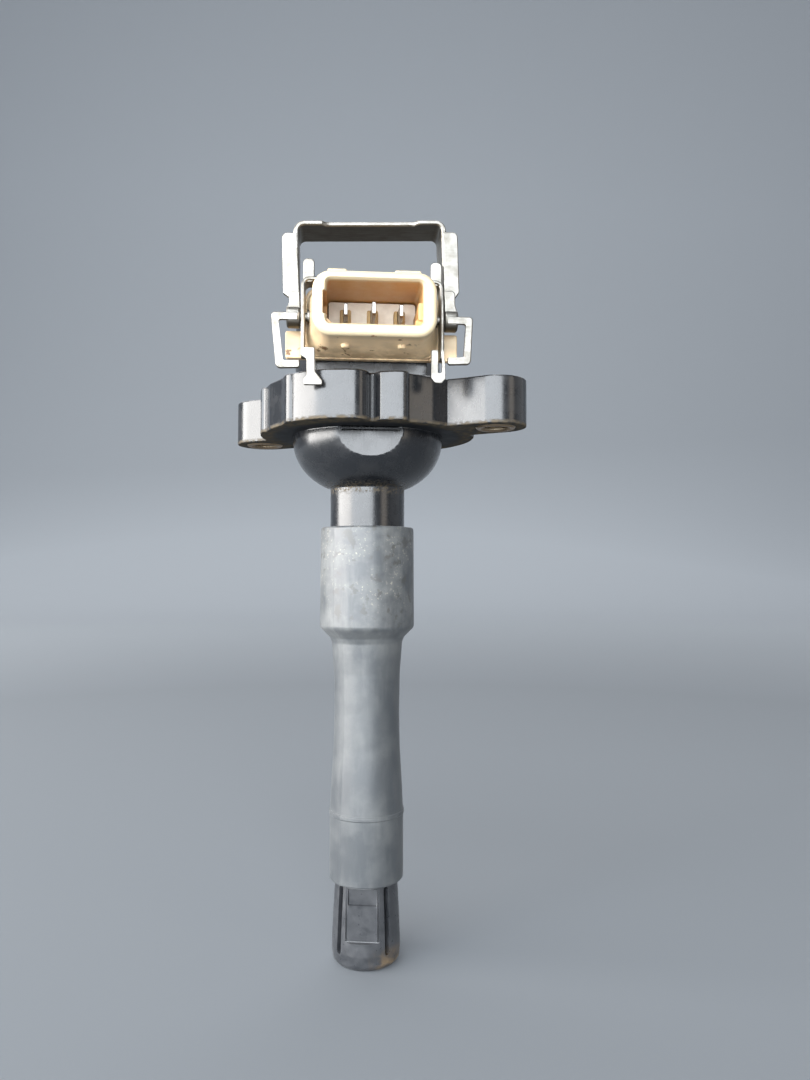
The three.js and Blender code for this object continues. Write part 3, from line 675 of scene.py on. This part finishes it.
def housing():
    """Barrel, flange, ears and the pad behind the connector in one moulding, hollow inside."""
    body = barrel_solid()
    facet = rectangle(-FACET_HALF, FACET_HALF, FACET_Y - 6, FACET_Y, 0.1, 1)
    carve(body, prism("facet", facet, FACET_LOW, FLANGE_BOTTOM + 0.2))
    flange = carve(raised_plate("flange", flange_outline()), drill(TOWER_BORE, -2, 20))
    pad = slab("pad", rectangle(-13.5, 13.5, 6, 31.5, 1.0), -21, PAD_REAR, fillet=0.3)
    carve(pad, drill(TOWER_BORE, 4, 40))
    fuse(body, flange, pad)
    for name, centre in (("right_ear", RIGHT_EAR), ("left_ear", LEFT_EAR)):
        fuse(body, ear_solid(name, centre))
        carve(body, moved(drill(BUSH_SEAT, -2, 16, 64), centre.x, centre.y))
    slot = prism("slot", rectangle(-SLOT_HALF, SLOT_HALF, FACET_Y - 0.9, FACET_Y + 1.4, 0.1, 1), 0.12, 0.6)
    step = prism("step", rectangle(-SLOT_HALF, SLOT_HALF, FACET_Y - 2, FACET_Y + 1.7, 0.1, 1), -0.85, -0.3)
    window = slab("window", rectangle(-8.2, 8.2, 22.4, 26.2, 0.3, 2), -24, PAD_REAR)
    carve(body, slot, step, window)
    soften(body, 0.12)
    return show(shade(body), BLACK_GLOSS, COIL, "black_plastic", "housing")


def top_cover():
    """A dished cover with a raised rim and a shallow round panel."""
    top = TOWER_TOP + 1.8
    panel = top - 0.7
    spigot = 16.7
    profile = [(0, TOWER_TOP - 1.6), (spigot - 0.7, TOWER_TOP - 1.6), (spigot, TOWER_TOP - 1.2)]
    profile += [(spigot, TOWER_TOP + 0.1), (TOWER_R - 0.2, TOWER_TOP + 0.1), (TOWER_R, TOWER_TOP + 0.3)]
    profile += [(TOWER_R, top - 0.8, 0.6), (TOWER_R - 0.9, top, 0.5), (TOWER_R - 2.6, top, 0.4)]
    profile += [(TOWER_R - 3.1, panel, 0.4), (0, panel)]
    cover = turned("top_cover_shell", rounded(profile, closed=False, steps=4), 96)
    return show(shade(cover), COVER_PLASTIC, COIL, "cover_plastic", "top_cover")


def bushing(centre, name, node):
    """A rolled steel bush: rounded lips at both ends and a fine split down its side."""
    outer, bore = 4.9, 3.25
    flare, edge = 0.5, 0.35
    low, high = BUSH_LOW.z, BUSH_HIGH.z
    profile = [(bore, low + flare, 0.3), (bore + flare, low, 0.3), (outer - edge, low, 0.3)]
    profile += [(outer, low + 0.4, 0.2), (outer, high - 0.4, 0.2), (outer - edge, high, 0.3)]
    profile += [(bore + flare, high, 0.3), (bore, high - flare, 0.3)]
    bush = turned(name, rounded(profile, steps=3), 72, closed=True)
    split = prism("split", rectangle(bore - 1, outer + 1, -0.09, 0.09, 0.02, 1), low - 1, high + 1)
    carve(bush, moved(split, turn=140))
    moved(bush, centre.x, centre.y)
    return show(shade(bush), BUSH_STEEL, COIL, "bushing_steel", node)


# ---------- boot and plug end ----------

def raise_seams(obj):
    """Two fine parting lines down the outside, opposite each other."""
    outside, height, width = 8.3, 0.16, 0.35
    first = math.radians(-134)
    for v in obj.data.vertices:
        r = math.hypot(v.co.x, v.co.y) / MM
        if r < outside:
            continue
        for seam in (first, first + math.pi):
            turn = (math.atan2(v.co.y, v.co.x) - seam + math.pi) % (2 * math.pi) - math.pi
            scale = 1 + height * math.exp(-(turn * r / width) ** 2) / r
            v.co.x *= scale
            v.co.y *= scale


def boot():
    """Rubber boot: thick head, taper, waist, seam ring and lower sleeve, with two parting lines."""
    top, end = BOOT_HIGH.z, BOOT_LOW.z
    pocket, pocket_floor, bore = 9.9, -47.3, 4.0
    sleeve, sleeve_top = 7.7, -96.6
    head = [(pocket, top, 0.3), (BOOT_R - 0.15, top, 0.7), (BOOT_R, -49.3, 1.6), (9.75, -51.9, 1.0)]
    waist = [(9.2, -53.2, 2), (8.62, -61, 20), (8.45, -71, 30), (8.62, -80, 30), (9.15, -89, 30)]
    ring = [(9.5, -96.2, 0.2), (9.72, -96.3, 0.15), (9.72, -97.2, 0.15), (9.55, -97.4, 0.1)]
    cuff = [(9.55, end, 0.5), (sleeve, end, 0.3), (sleeve, sleeve_top)]
    inside = [(bore, sleeve_top), (bore, pocket_floor), (pocket, pocket_floor)]
    profile = rounded(head + waist + ring + cuff + inside, steps=5)
    profile = [p for i, p in enumerate(profile) if (p - profile[i - 1]).length > 1e-4]
    obj = turned("boot_body", densified(profile + profile[:1], 2.0)[:-1], 144, closed=True)
    raise_seams(obj)
    return show(shade(obj), BOOT_RUBBER, COIL, "boot_rubber", "rubber_boot")


def plug_end_cuts():
    """Two windows opposite each other with a step and two fine gaps each, and four long slots between."""
    low, high, outside = -127.6, -114.4, -12
    cuts = []
    for turn in (-9.5, 170.5):
        recess = slab("recess", rectangle(-4.7, 4.7, low, high, 0.35, 3), outside, -7.55, fillet=0.25)
        step = slab("step", rectangle(-3.7, 3.7, -118.6, high - 0.1, 0.25, 3), outside, -7.0, fillet=0.2)
        cuts += [moved(recess, turn=turn), moved(step, turn=turn)]
    for turn in (-53.5, 35.5, 126.5, 215.5):
        slot = slab("long_slot", rectangle(-0.75, 0.75, -131, high, 0.6, 4), outside, -5)
        cuts.append(moved(slot, turn=turn))
    for turn in (-9.5, 170.5):
        for x in (-4.05, 4.05):
            gap = slab("gap", rectangle(-0.22, 0.22, low + 0.2, high, 0.15, 2), outside, -6.9)
            cuts.append(moved(moved(gap, x=x), turn=turn))
    return cuts


def plug_end():
    """Plastic end: sleeve in the boot, belly with windows and slots, solid rounded rim."""
    top, end = TIP_HIGH.z, TIP_LOW.z
    bore, belly, neck, sleeve, shoulder = 6.4, 8.8, 8.05, 7.5, -114.1
    rim = [(bore, top), (bore, end + 0.5, 0.3), (bore + 0.5, end, 0.3), (belly - 1.5, end, 1.2)]
    side = [(belly - 0.25, end + 1.2, 1.6), (belly, end + 4, 4), (belly - 0.1, -127, 8), (8.4, -120.5, 20)]
    plain = [(neck, shoulder, 0.2), (sleeve, shoulder), (sleeve, top)]
    obj = turned("plug_end_body", rounded(rim + side + plain, steps=5), 144, closed=True)
    carve(obj, *plug_end_cuts())
    soften(obj, 0.14)
    return show(shade(obj), TIP_PLASTIC, COIL, "tip_plastic", "plug_end_collet")


def spark_contact():
    """The sprung brass button that presses on the plug."""
    low, high = box_mm("plug_contact")
    r, guide = high.x, 1.8
    shoulder = high.z - 1.6
    profile = [(0, low.z + 0.8), (1.2, low.z + 0.66, 1), (2.4, low.z, 0.2), (r - 0.4, low.z, 0.3)]
    profile += [(r, low.z + 0.6, 0.3), (r, shoulder, 0.2), (guide, shoulder, 0.2)]
    profile += [(guide, high.z, 0.2), (0, high.z)]
    obj = turned("plug_contact_button", rounded(profile, closed=False, steps=4), 64)
    return show(shade(obj), BRASS, CONTACT, "brass", "plug_contact")


def contact_spring():
    """Drawn wire wound in nine turns, its end coils lying flatter."""
    top, end = SPRING_HIGH.z, SPRING_LOW.z
    wire = 0.4
    radius = SPRING_HIGH.x - wire
    turns, per_turn, sides = 9, 36, 12
    flatter, climbing = 0.06, 0.88
    count = turns * per_turn
    rings = []
    for k in range(count + 1):
        share = k / count
        angle = 2 * math.pi * turns * share
        climb = 0.5 - 0.5 * math.cos(math.pi * min(1.0, max(0.0, (share - flatter) / climbing)))
        z = top - wire - (top - end - 2 * wire) * (0.2 * climb + 0.8 * share)
        outward = Vector((math.cos(angle), math.sin(angle), 0))
        ring = []
        for side in range(sides):
            a = 2 * math.pi * side / sides
            offset = outward * (radius + wire * math.cos(a))
            ring.append((offset.x, offset.y, z + wire * math.sin(a)))
        rings.append(ring)
    obj = shade(make("contact_spring_wire", *skin(rings)), 60)
    obj.data.materials.append(SPRING_STEEL)
    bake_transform(obj)
    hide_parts("contact_spring")
    return obj


def dress(node, material):
    """Gives a CAD node that stays in view its material."""
    obj = bpy.data.objects[node]
    for slot in obj.material_slots:
        slot.material = material


# ---------- connector ----------

def shell_skirt(front):
    """The shell behind its rim, widening towards the collar."""
    steps, flare, start = 10, 1.9, front + 2.4
    rings = []
    for k in range(steps + 1):
        share = k / steps
        grow = flare * share ** 2.2
        outline = rectangle(-13.6 - grow, 13.6 + grow, 16.6 - 0.6 * grow, 30.8 + 0.3 * grow, 4.2, 10)
        rings.append(facing_ring(outline, start + share * (COLLAR_FRONT - start)))
    return make("skirt", *skin(rings))


def shell_marks(front):
    """Two low ribs on top of the shell and two round bumps under it."""
    marks = []
    for x0, x1 in ((-10.4, -6.2), (4.4, 10.2)):
        marks.append(slab("rib", rectangle(x0, x1, 30.4, 31.4, 0.35, 4), front + 0.7, -29, fillet=0.3))
    for x in (-6.4, 6.4):
        profile = rounded([(0, 15.75), (0.9, 15.75, 0.35), (1.15, 17.2), (0, 17.2)], closed=False)
        marks.append(moved(turned("bump", profile, 32), x, -31.5))
    return marks


def mouth_cuts(front, rear):
    """The mouth, its rounded lead-in and the keyway on its left."""
    half, low, high = MOUTH_HALF, MOUTH_LOW, MOUTH_HIGH
    corner = 0.9
    mouth = slab("mouth", rectangle(-half, half, low, high, corner, 5), front - 2, rear + 1)
    lead_in = []
    for depth, grow in ((-0.5, 0.75), (0.1, 0.45), (0.5, 0.15), (0.9, 0.0)):
        outline = rectangle(-half - grow, half + grow, low - grow, high + grow, corner + grow, 5)
        lead_in.append(facing_ring(outline, front + depth))
    keyway = rectangle(-half - 0.9, -half + 0.6, 21.2, 26.4, 0.25, 3)
    return mouth, make("mouth_edge", *skin(lead_in)), slab("keyway", keyway, front - 1, -28)


def mouth_keys(front):
    """A key on the right of the mouth, with its toe, and a filled corner on the left."""
    half, low, rear = MOUTH_HALF, MOUTH_LOW, -25
    side = half + 0.5
    key = slab("key", rectangle(half - 0.9, side, 20.6, 24.6, 0.3, 3), front + 1.6, rear, fillet=0.3)
    toe = slab("toe", rectangle(half - 1.5, side, low - 0.4, 20.9, 0.3, 3), front + 2.0, rear, fillet=0.3)
    corner = [Vector((-half + x, low + z)) for x, z in ((-0.3, -0.3), (1.6, -0.3), (-0.3, 1.6))]
    return key, toe, slab("left_toe", corner, front + 1.4, rear)


def connector_shell():
    """Cream shell: thick rounded rim, flared skirt and collar, side lugs, keyed mouth."""
    front, rear = SHELL_LOW.y, SHELL_HIGH.y
    rim = rectangle(-13.7, 13.7, 16.55, 30.9, 4.2, 10)
    shell = slab("shell_body", rim, front, rear, low_fillet=0.9, fillet=0.0, steps=5)
    collar = slab("collar", rectangle(-15.8, 15.8, 15.5, 31.9, 3.4, 10), COLLAR_FRONT, rear, fillet=0.3)
    lugs = slab("lugs", rectangle(-20.3, 20.3, 15.2, 21.6, 0.5, 4), -23.6, -21.6, fillet=0.25)
    fuse(shell, shell_skirt(front), collar, lugs, *shell_marks(front))
    carve(shell, *mouth_cuts(front, rear))
    fuse(shell, *mouth_keys(front))
    soften(shell, 0.1)
    return show(shade(shell), CREAM, COIL, "cream_plastic", "connector_shell")


def terminal_carrier():
    """Back wall with a bevelled seat round each blade and low ribs between them."""
    half, low, high = MOUTH_HALF - 0.3, MOUTH_LOW + 0.3, MOUTH_HIGH - 0.3
    joined = CARRIER_FRONT + 1
    wall = slab("carrier_wall", rectangle(-half, half, low, high, 0.6, 4), CARRIER_FRONT, -21.6, fillet=0.1)
    for x in (-PITCH, 0, PITCH):
        seat = rectangle(x - 1.3, x + 1.3, 22.0, 26.2, 0.4, 4)
        fuse(wall, slab("seat", seat, -26.2, joined, fillet=0.0, low_fillet=0.35))
        slot = rectangle(x - 0.5, x + 0.5, BLADE_Z - 1.75, BLADE_Z + 1.75, 0.1, 2)
        carve(wall, slab("slot", slot, -28, -20))
    for x in (-9, -3.15, 3.15, 9):
        rib = rectangle(x - 0.8, x + 0.8, low + 0.1, low + 1.5, 0.3, 3)
        fuse(wall, slab("rib", rib, -26.6, joined, fillet=0.0, low_fillet=0.3))
    return show(shade(wall), CARRIER, COIL, "grey_plastic", "terminal_carrier")


def blade(node):
    """A tinned blade with a flat nose, eased at its corners, and a narrower tail into the housing."""
    low, high = box_mm(node)
    middle, tail = (low.z + high.z) / 2, 0.7
    shoulder, ease = -20.0, 0.5
    below = [(low.y, low.z + 0.35, 0.2), (low.y + ease, low.z, 0.2), (shoulder - ease, low.z, 0.1)]
    narrow = ((shoulder, -tail), (high.y, -tail), (high.y, tail), (shoulder, tail))
    tail_end = [(y, middle + z) for y, z in narrow]
    above = [(shoulder - ease, high.z, 0.1), (low.y + ease, high.z, 0.2), (low.y, high.z - 0.35, 0.2)]
    outline = rounded(below + tail_end + above, steps=3)
    obj = prism(node + "_blade", outline, low.x, high.x, turn=SIDEWAYS, fillet=0.12)
    return show(shade(obj), TIN, COIL, "tinned_blade", node)


# ---------- steel bracket, pins and bail ----------

def swept_strip(name, path, widths, thickness):
    """A bent strip: its path lies in the XZ plane, and each point has a front and a rear Y."""
    rings = []
    count = len(path)
    for i, here in enumerate(path):
        back = path[max(0, i - 1)]
        ahead = path[min(count - 1, i + 1)]
        along = (ahead - back).normalized()
        normal = Vector((-along.y, along.x))
        front, rear = widths[i]
        half = thickness / 2
        edge = 0.28
        section = [(half - edge, front), (half, front + edge), (half, rear - edge), (half - edge, rear)]
        section += [(edge - half, rear), (-half, rear - edge), (-half, front + edge), (edge - half, front)]
        rings.append([(here.x + normal.x * n, y, here.y + normal.y * n) for n, y in section])
    return make(name, *skin(rings))


def cross_turned(name, profile, segments=40, closed=False):
    """A profile of (radius, x) points turned about the pivot line."""
    obj = turned(name, profile, segments, closed)
    obj.data.transform(Matrix(((0, 0, 1, 0), (0, 1, 0, 0), (1, 0, 0, 0), (0, 0, 0, 1))))
    obj.data.flip_normals()
    return moved(obj, 0, PIVOT.y, PIVOT.z)


def clamped(value):
    return min(1, max(0, value))


def bracket_sheet(front):
    """The strap over the connector with a side plate down each side; higher up it stands further back."""
    mid = BRACKET_HIGH.x - SHEET / 2
    strap, end, corner = 32.65, 14.6, 1.5
    bend = [(mid, end), (mid, strap, corner), (-mid, strap, corner), (-mid, end)]
    path = densified(rounded(bend, closed=False, steps=8), 1.2)
    widths = [(front + 1.0 * clamped((p.y - 27) / 5), -24.9 + 2.3 * clamped((p.y - 29) / 3)) for p in path]
    return swept_strip("bracket_sheet", path, widths, SHEET)


def bracket_feet(front):
    """The left foot, a hanging plate with a spread end, and the right one, bent round to a hook."""
    outer, low, high = BRACKET_HIGH.x, BRACKET_LOW.z, 16.4
    left = [(-outer, high, 0.2), (-outer, 14.4, 0.4), (-15.2, 13.6, 0.4), (-15.1, 10.0, 0.5)]
    left += [(-15.8, 9.2, 0.4), (-15.8, low, 0.3), (-11.5, low, 0.4), (-11.6, 8.9, 0.4)]
    left += [(-13.2, 10.8, 0.6), (-13.3, high, 0.3)]
    right = [(13.5, high, 0.3), (13.5, 9.8, 1.0), (14.4, 8.7, 0.8), (15.9, 8.7, 0.8), (16.8, 9.8, 0.9)]
    right += [(16.7, 13.6, 0.3), (outer, 14.6, 0.2), (outer, high, 0.2), (15.6, high, 0.1), (16.0, 13.6, 0.2)]
    right += [(15.9, 11.2, 0.3), (15.1, 11.0, 0.2), (15.1, high, 0.2)]
    left_foot = slab("left_foot", rounded(left, steps=4), front, front + SHEET, fillet=0.22)
    right_foot = slab("right_foot", rounded(right, steps=4), front, front + SHEET, fillet=0.12)
    return left_foot, right_foot


def bracket():
    """Bent sheet: strap over the connector, side plates, standing tabs and the two feet."""
    front = BRACKET_LOW.y
    body = bracket_sheet(front)
    outline = rectangle(13.5, BRACKET_HIGH.x - 0.4, 31.8, BRACKET_HIGH.z, 1.05, 6)
    tab = slab("tab", outline, front + 1.3, front + 1.3 + SHEET, fillet=0.22)
    fuse(body, tab, mirrored(tab, "left_tab"), *bracket_feet(front))
    pin_hole = 1.15
    carve(body, cross_turned("hole", [(0, -20), (pin_hole, -20), (pin_hole, 20), (0, 20)]))
    return show(shade(body, 40), STEEL, COIL, "plated_steel", "connector_bracket")


def pivot_pins():
    """A headed pin on each side, from the bail's eye into the bracket."""
    low, high = box_mm("pivot_pin_right")
    head, shank = 1.7, 1.0
    profile = [(0, low.x), (head - 0.3, low.x, 0.2), (head, low.x + 0.3, 0.2), (head, low.x + 0.9, 0.1)]
    profile += [(shank, low.x + 0.9), (shank, high.x - 0.3, 0.2), (shank - 0.35, high.x, 0.2), (0, high.x)]
    right = cross_turned("pivot_pin_right_rivet", rounded(profile, closed=False, steps=3))
    left = mirrored(right, "pivot_pin_left_rivet")
    show(shade(right), STEEL, COIL, "plated_steel", "pivot_pin_right")
    show(shade(left), STEEL, COIL, "plated_steel", "pivot_pin_left")


def bail_sheet():
    """Crossbar and arms as one strip: narrow at the eyes, wider towards the top, notched in the crossbar."""
    y0, z0 = PIVOT.y, PIVOT.z
    mid = ARM_INNER + BAIL_SHEET / 2
    top, end, corner = BAIL_HIGH.z - BAIL_SHEET / 2, z0 + 1.0, 2.0
    bend = [(mid, end), (mid, top, corner), (-mid, top, corner), (-mid, end)]
    path = densified(rounded(bend, closed=False, steps=10), 0.8)
    widths = []
    for p in path:
        rise = p.y - z0
        rear = 1.6 + 8.0 * clamped((rise - 4) / 14) ** 1.3
        front = -1.4 if rise < 3 else -0.6
        notch = 0.9 * clamped((11.2 - abs(p.x)) / 0.9) if rise > 20 else 0
        widths.append((y0 + front + notch, y0 + rear))
    return swept_strip("bail_sheet", path, widths, BAIL_SHEET)


def bail_side():
    """The right side of the bail: outward flange, the sheet below it, the curled eye and the lower loop."""
    y0, z0 = PIVOT.y, PIVOT.z
    face = y0 - 0.7
    reach = 20.5
    edge = [(ARM_INNER + 0.1, z0 + 4.8, 0.4), (19.4, z0 + 4.8, 0.7), (reach, z0 + 6.0, 0.8)]
    edge += [(reach, z0 + 20.3, 1.2), (ARM_INNER + 0.3, z0 + 20.3, 0.3)]
    flange = slab("flange", rounded(edge, steps=5), face, face + BAIL_SHEET, fillet=0.25)
    edge = [(ARM_INNER, z0 + 1.2, 0.3), (19.8, z0 + 1.2, 0.3), (19.2, z0 + 3.2, 0.9)]
    edge += [(19.3, z0 + 6, 0.8), (ARM_INNER, z0 + 6, 0.3)]
    neck = slab("neck", rounded(edge, steps=4), face - 1.2, face + BAIL_SHEET, fillet=0.25)
    profile = [(EYE_BORE, ARM_INNER, 0.1), (BARREL_R, ARM_INNER, 0.5), (BARREL_R, BARREL_END, 0.6)]
    profile.append((EYE_BORE, BARREL_END, 0.3))
    eye = cross_turned("eye", rounded(profile, steps=4), 48, closed=True)
    return flange, neck, eye, lower_loop(y0 - 2.7, y0 - 1.6)


def lower_loop(front, rear):
    """A flat loop of sheet below the eye, open in its middle."""
    outer, low, high = BAIL_HIGH.x, BAIL_LOW.z, PIVOT.z + 0.4
    bar, inside = 1.7, 15.0
    edge = [(17.2, high, 0.3), (outer, high, 0.9), (outer - 0.9, low, 1.1), (17.0, low, 0.6)]
    loop = slab("loop", rounded(edge, steps=6), front, rear, fillet=0.3)
    opening = [(inside, high - bar, 0.2), (outer - bar, high - bar, 0.5), (outer - 2.5, low + bar, 0.5)]
    opening.append((inside, low + bar, 0.2))
    return carve(loop, slab("hole", rounded(opening, steps=5), front - 2.3, rear + 5.6))


def opposite(obj):
    """The mesh moved to the other side of the middle plane."""
    copy = mirrored(obj, obj.name + "_left")
    bpy.data.objects.remove(obj)
    return copy


def bent(obj):
    """The bail as it has been bent in use: above and below its eyes it leans a little to one side."""
    sideways, upwards = 0.028, 0.04
    for v in obj.data.vertices:
        x, z = v.co.x / MM, v.co.z / MM - PIVOT.z
        share = clamped((abs(z) - 2.5) / 4)
        v.co.x -= sideways * z * share * MM
        v.co.z += upwards * x * share * MM
    return obj


def bail():
    """One bent sheet: crossbar with rounded corners, arms, outward flanges, eyes and lower loops."""
    body = bail_sheet()
    fuse(body, *bail_side())
    fuse(body, *[opposite(part) for part in bail_side()])
    carve(body, cross_turned("bore", [(0, -20), (EYE_BORE, -20), (EYE_BORE, 20), (0, 20)], 48))
    return show(bent(shade(body, 40)), STEEL, BAIL, "plated_steel", "locking_bail")


# ---------- stage ----------

def pale_paper():
    """Matte and even, lighter far from the object, with a faint glow that keeps the far floor pale."""
    pale = Recipe("pale_paper", Roughness=0.9)
    pale.shader.inputs["Emission Color"].default_value = (0.8, 0.88, 1.0, 1.0)
    far = pale.between(pale.length(pale.axis("X"), pale.axis("Y")), 0.5, 2.2)
    pale.use("Base Color", pale.mix(far, (0.125, 0.137, 0.15), (0.37, 0.395, 0.42)))
    pale.use("Emission Strength", pale.between(far, 0.0, 1.0, 0.05, 0.13))
    return pale.material


def stage():
    """A pale floor under the plug end that sweeps up into a pale backdrop far behind."""
    floor_z = TIP_LOW.z * MM
    half, front, back, sweep, rise = 18.0, -18.0, 3.0, 1.6, 5.0
    profile = [(front, 0.0)]
    profile += [(back - sweep + sweep * math.sin(a), sweep * (1 - math.cos(a)))
                for a in (math.radians(90 * k / 24) for k in range(25))]
    profile.append((back, rise))
    bm = bmesh.new()
    rows = [[bm.verts.new((x, y, floor_z + z)) for x in (-half, half)] for y, z in profile]
    for a, b in zip(rows, rows[1:]):
        bm.faces.new((a[0], a[1], b[1], b[0]))
    mesh = bpy.data.meshes.new("floor")
    bm.to_mesh(mesh)
    bm.free()
    mesh.polygons.foreach_set("use_smooth", [True] * len(mesh.polygons))
    mesh.materials.append(pale_paper())
    placed("floor", mesh)


def area_light(name, azimuth, elevation, distance, size, power, colour, flat=False):
    """A soft panel facing the object, or lying flat; azimuth 0 is in front (-Y), positive to the right."""
    a, e = math.radians(azimuth), math.radians(elevation)
    away = Vector((math.sin(a) * math.cos(e), -math.cos(a) * math.cos(e), math.sin(e)))
    data = bpy.data.lights.new(name, "AREA")
    data.shape = "RECTANGLE"
    data.size, data.size_y = size
    data.energy = power
    data.color = colour
    light = placed(name, data)
    light.location = away * distance
    facing = Vector((0, 0, -1)) if flat else away
    light.rotation_euler = facing.to_track_quat("Z", "Y").to_euler()


def lights():
    """A wide soft sky in front and to the left, little light from the right, and a soft one behind."""
    area_light("sky_front", -19, 10, 1.5, (2.0, 0.95), 52, (0.9, 0.95, 1.0))
    area_light("sky_left", -78, 10, 1.4, (1.3, 1.0), 52, (1.0, 0.98, 0.955))
    area_light("sky_low", -10, -19, 0.38, (0.5, 0.3), 0.8, (0.97, 0.98, 1.0), flat=True)
    area_light("wall_right", 50, 8, 1.5, (0.45, 0.9), 2.5, (1.0, 0.88, 0.74))
    area_light("sky_high", -30, 46, 1.6, (1.4, 0.7), 18, (0.93, 0.97, 1.0))
    area_light("room_right", 95, 22, 1.8, (1.3, 1.2), 2, (0.97, 0.98, 1.0))
    area_light("room_back", 190, 52, 1.8, (2.4, 1.4), 26, (0.97, 0.98, 1.0))
    world = bpy.data.worlds.new("soft_room")
    world.use_nodes = True
    background = world.node_tree.nodes["Background"]
    background.inputs["Color"].default_value = (0.84, 0.89, 0.95, 1.0)
    background.inputs["Strength"].default_value = 0.17
    bpy.context.scene.world = world


def camera():
    """In front of the boot and a little below the connector, looking slightly up."""
    data = bpy.data.cameras.new("camera")
    data.sensor_width = 36.0
    data.lens = 27.2
    data.clip_start = 0.01
    cam = placed("camera", data)
    cam.location = (-0.00848, -0.21486, -0.0341)
    forward = Vector((0.0854, 0.9957, 0.0349)).normalized()
    upright = forward.to_track_quat("-Z", "Y").to_matrix()
    roll = math.radians(-0.1)
    cam.rotation_euler = (Matrix.Rotation(roll, 3, forward) @ upright).to_euler()
    bpy.context.scene.camera = cam


# ---------- making everything ----------

BLACK_GLOSS = black_gloss()
COVER_PLASTIC = cover_plastic()
TIP_PLASTIC = tip_plastic()
BOOT_RUBBER = boot_rubber()
CREAM = cream_plastic()
CARRIER = carrier_plastic()
STEEL = sheet_steel("plated_sheet", (0.3, 0.29, 0.268), (0.12, 0.095, 0.06), low=0.28, high=0.48)
BUSH_STEEL = sheet_steel("bushing_metal", (0.5, 0.42, 0.3), (0.26, 0.17, 0.1), amount=0.9)
TIN = sheet_steel("tinned_metal", (0.36, 0.35, 0.33), (0.25, 0.23, 0.2), amount=0.4)
BRASS = sheet_steel("turned_brass", (0.76, 0.56, 0.27), (0.42, 0.28, 0.12), amount=0.5)
SPRING_STEEL = sheet_steel("spring_wire", (0.55, 0.55, 0.56), (0.3, 0.29, 0.28), amount=0.4)

COPPER = (0.55, 0.23, 0.1), (0.72, 0.36, 0.17)
SHEETS = (0.1, 0.1, 0.105), (0.3, 0.3, 0.31)
INNER_LOOKS = {
    "potting_resin": plain_moulded("poured_resin", (0.03, 0.022, 0.016), (0.05, 0.038, 0.028), 160, 0.12, 0.25),
    "core_frame": layered("stacked_sheets", "Y", 0.7, *SHEETS),
    "core_center_bar": layered("stacked_bar", "Y", 0.7, *SHEETS),
    "bias_magnet": plain_moulded("sintered_magnet", (0.06, 0.06, 0.062), (0.12, 0.12, 0.12), 500, 0.5, 0.7),
    "primary_bobbin": plain_moulded("bobbin_brown", (0.045, 0.033, 0.025), (0.075, 0.058, 0.045)),
    "secondary_bobbin": plain_moulded("bobbin_tan", (0.055, 0.041, 0.03), (0.09, 0.07, 0.052)),
    "primary_winding": layered("wound_copper", "Z", 0.5, *COPPER),
    "secondary_winding": layered("fine_copper", "Z", 0.2, *COPPER),
    "primary_lead_left": layered("lead_copper", "Z", 0.9, *COPPER),
    "primary_lead_right": layered("lead_copper_right", "Z", 0.9, *COPPER),
    "secondary_lead": layered("lead_copper_low", "Z", 0.9, *COPPER),
    "hv_terminal": BRASS,
    "suppression_resistor": capped_ceramic(),
}

camera()
stage()
lights()
housing()
top_cover()
bushing(RIGHT_EAR, "bushing_right_ring", "ear_bushing_right")
bushing(LEFT_EAR, "bushing_left_ring", "ear_bushing_left")
boot()
plug_end()
contact_spring()
spark_contact()
connector_shell()
terminal_carrier()
for pin in ("terminal_pin_left", "terminal_pin_center", "terminal_pin_right"):
    blade(pin)
bracket()
pivot_pins()
bail()
for node, look in INNER_LOOKS.items():
    dress(node, look)

bpy.context.scene.view_settings.view_transform = "Standard"
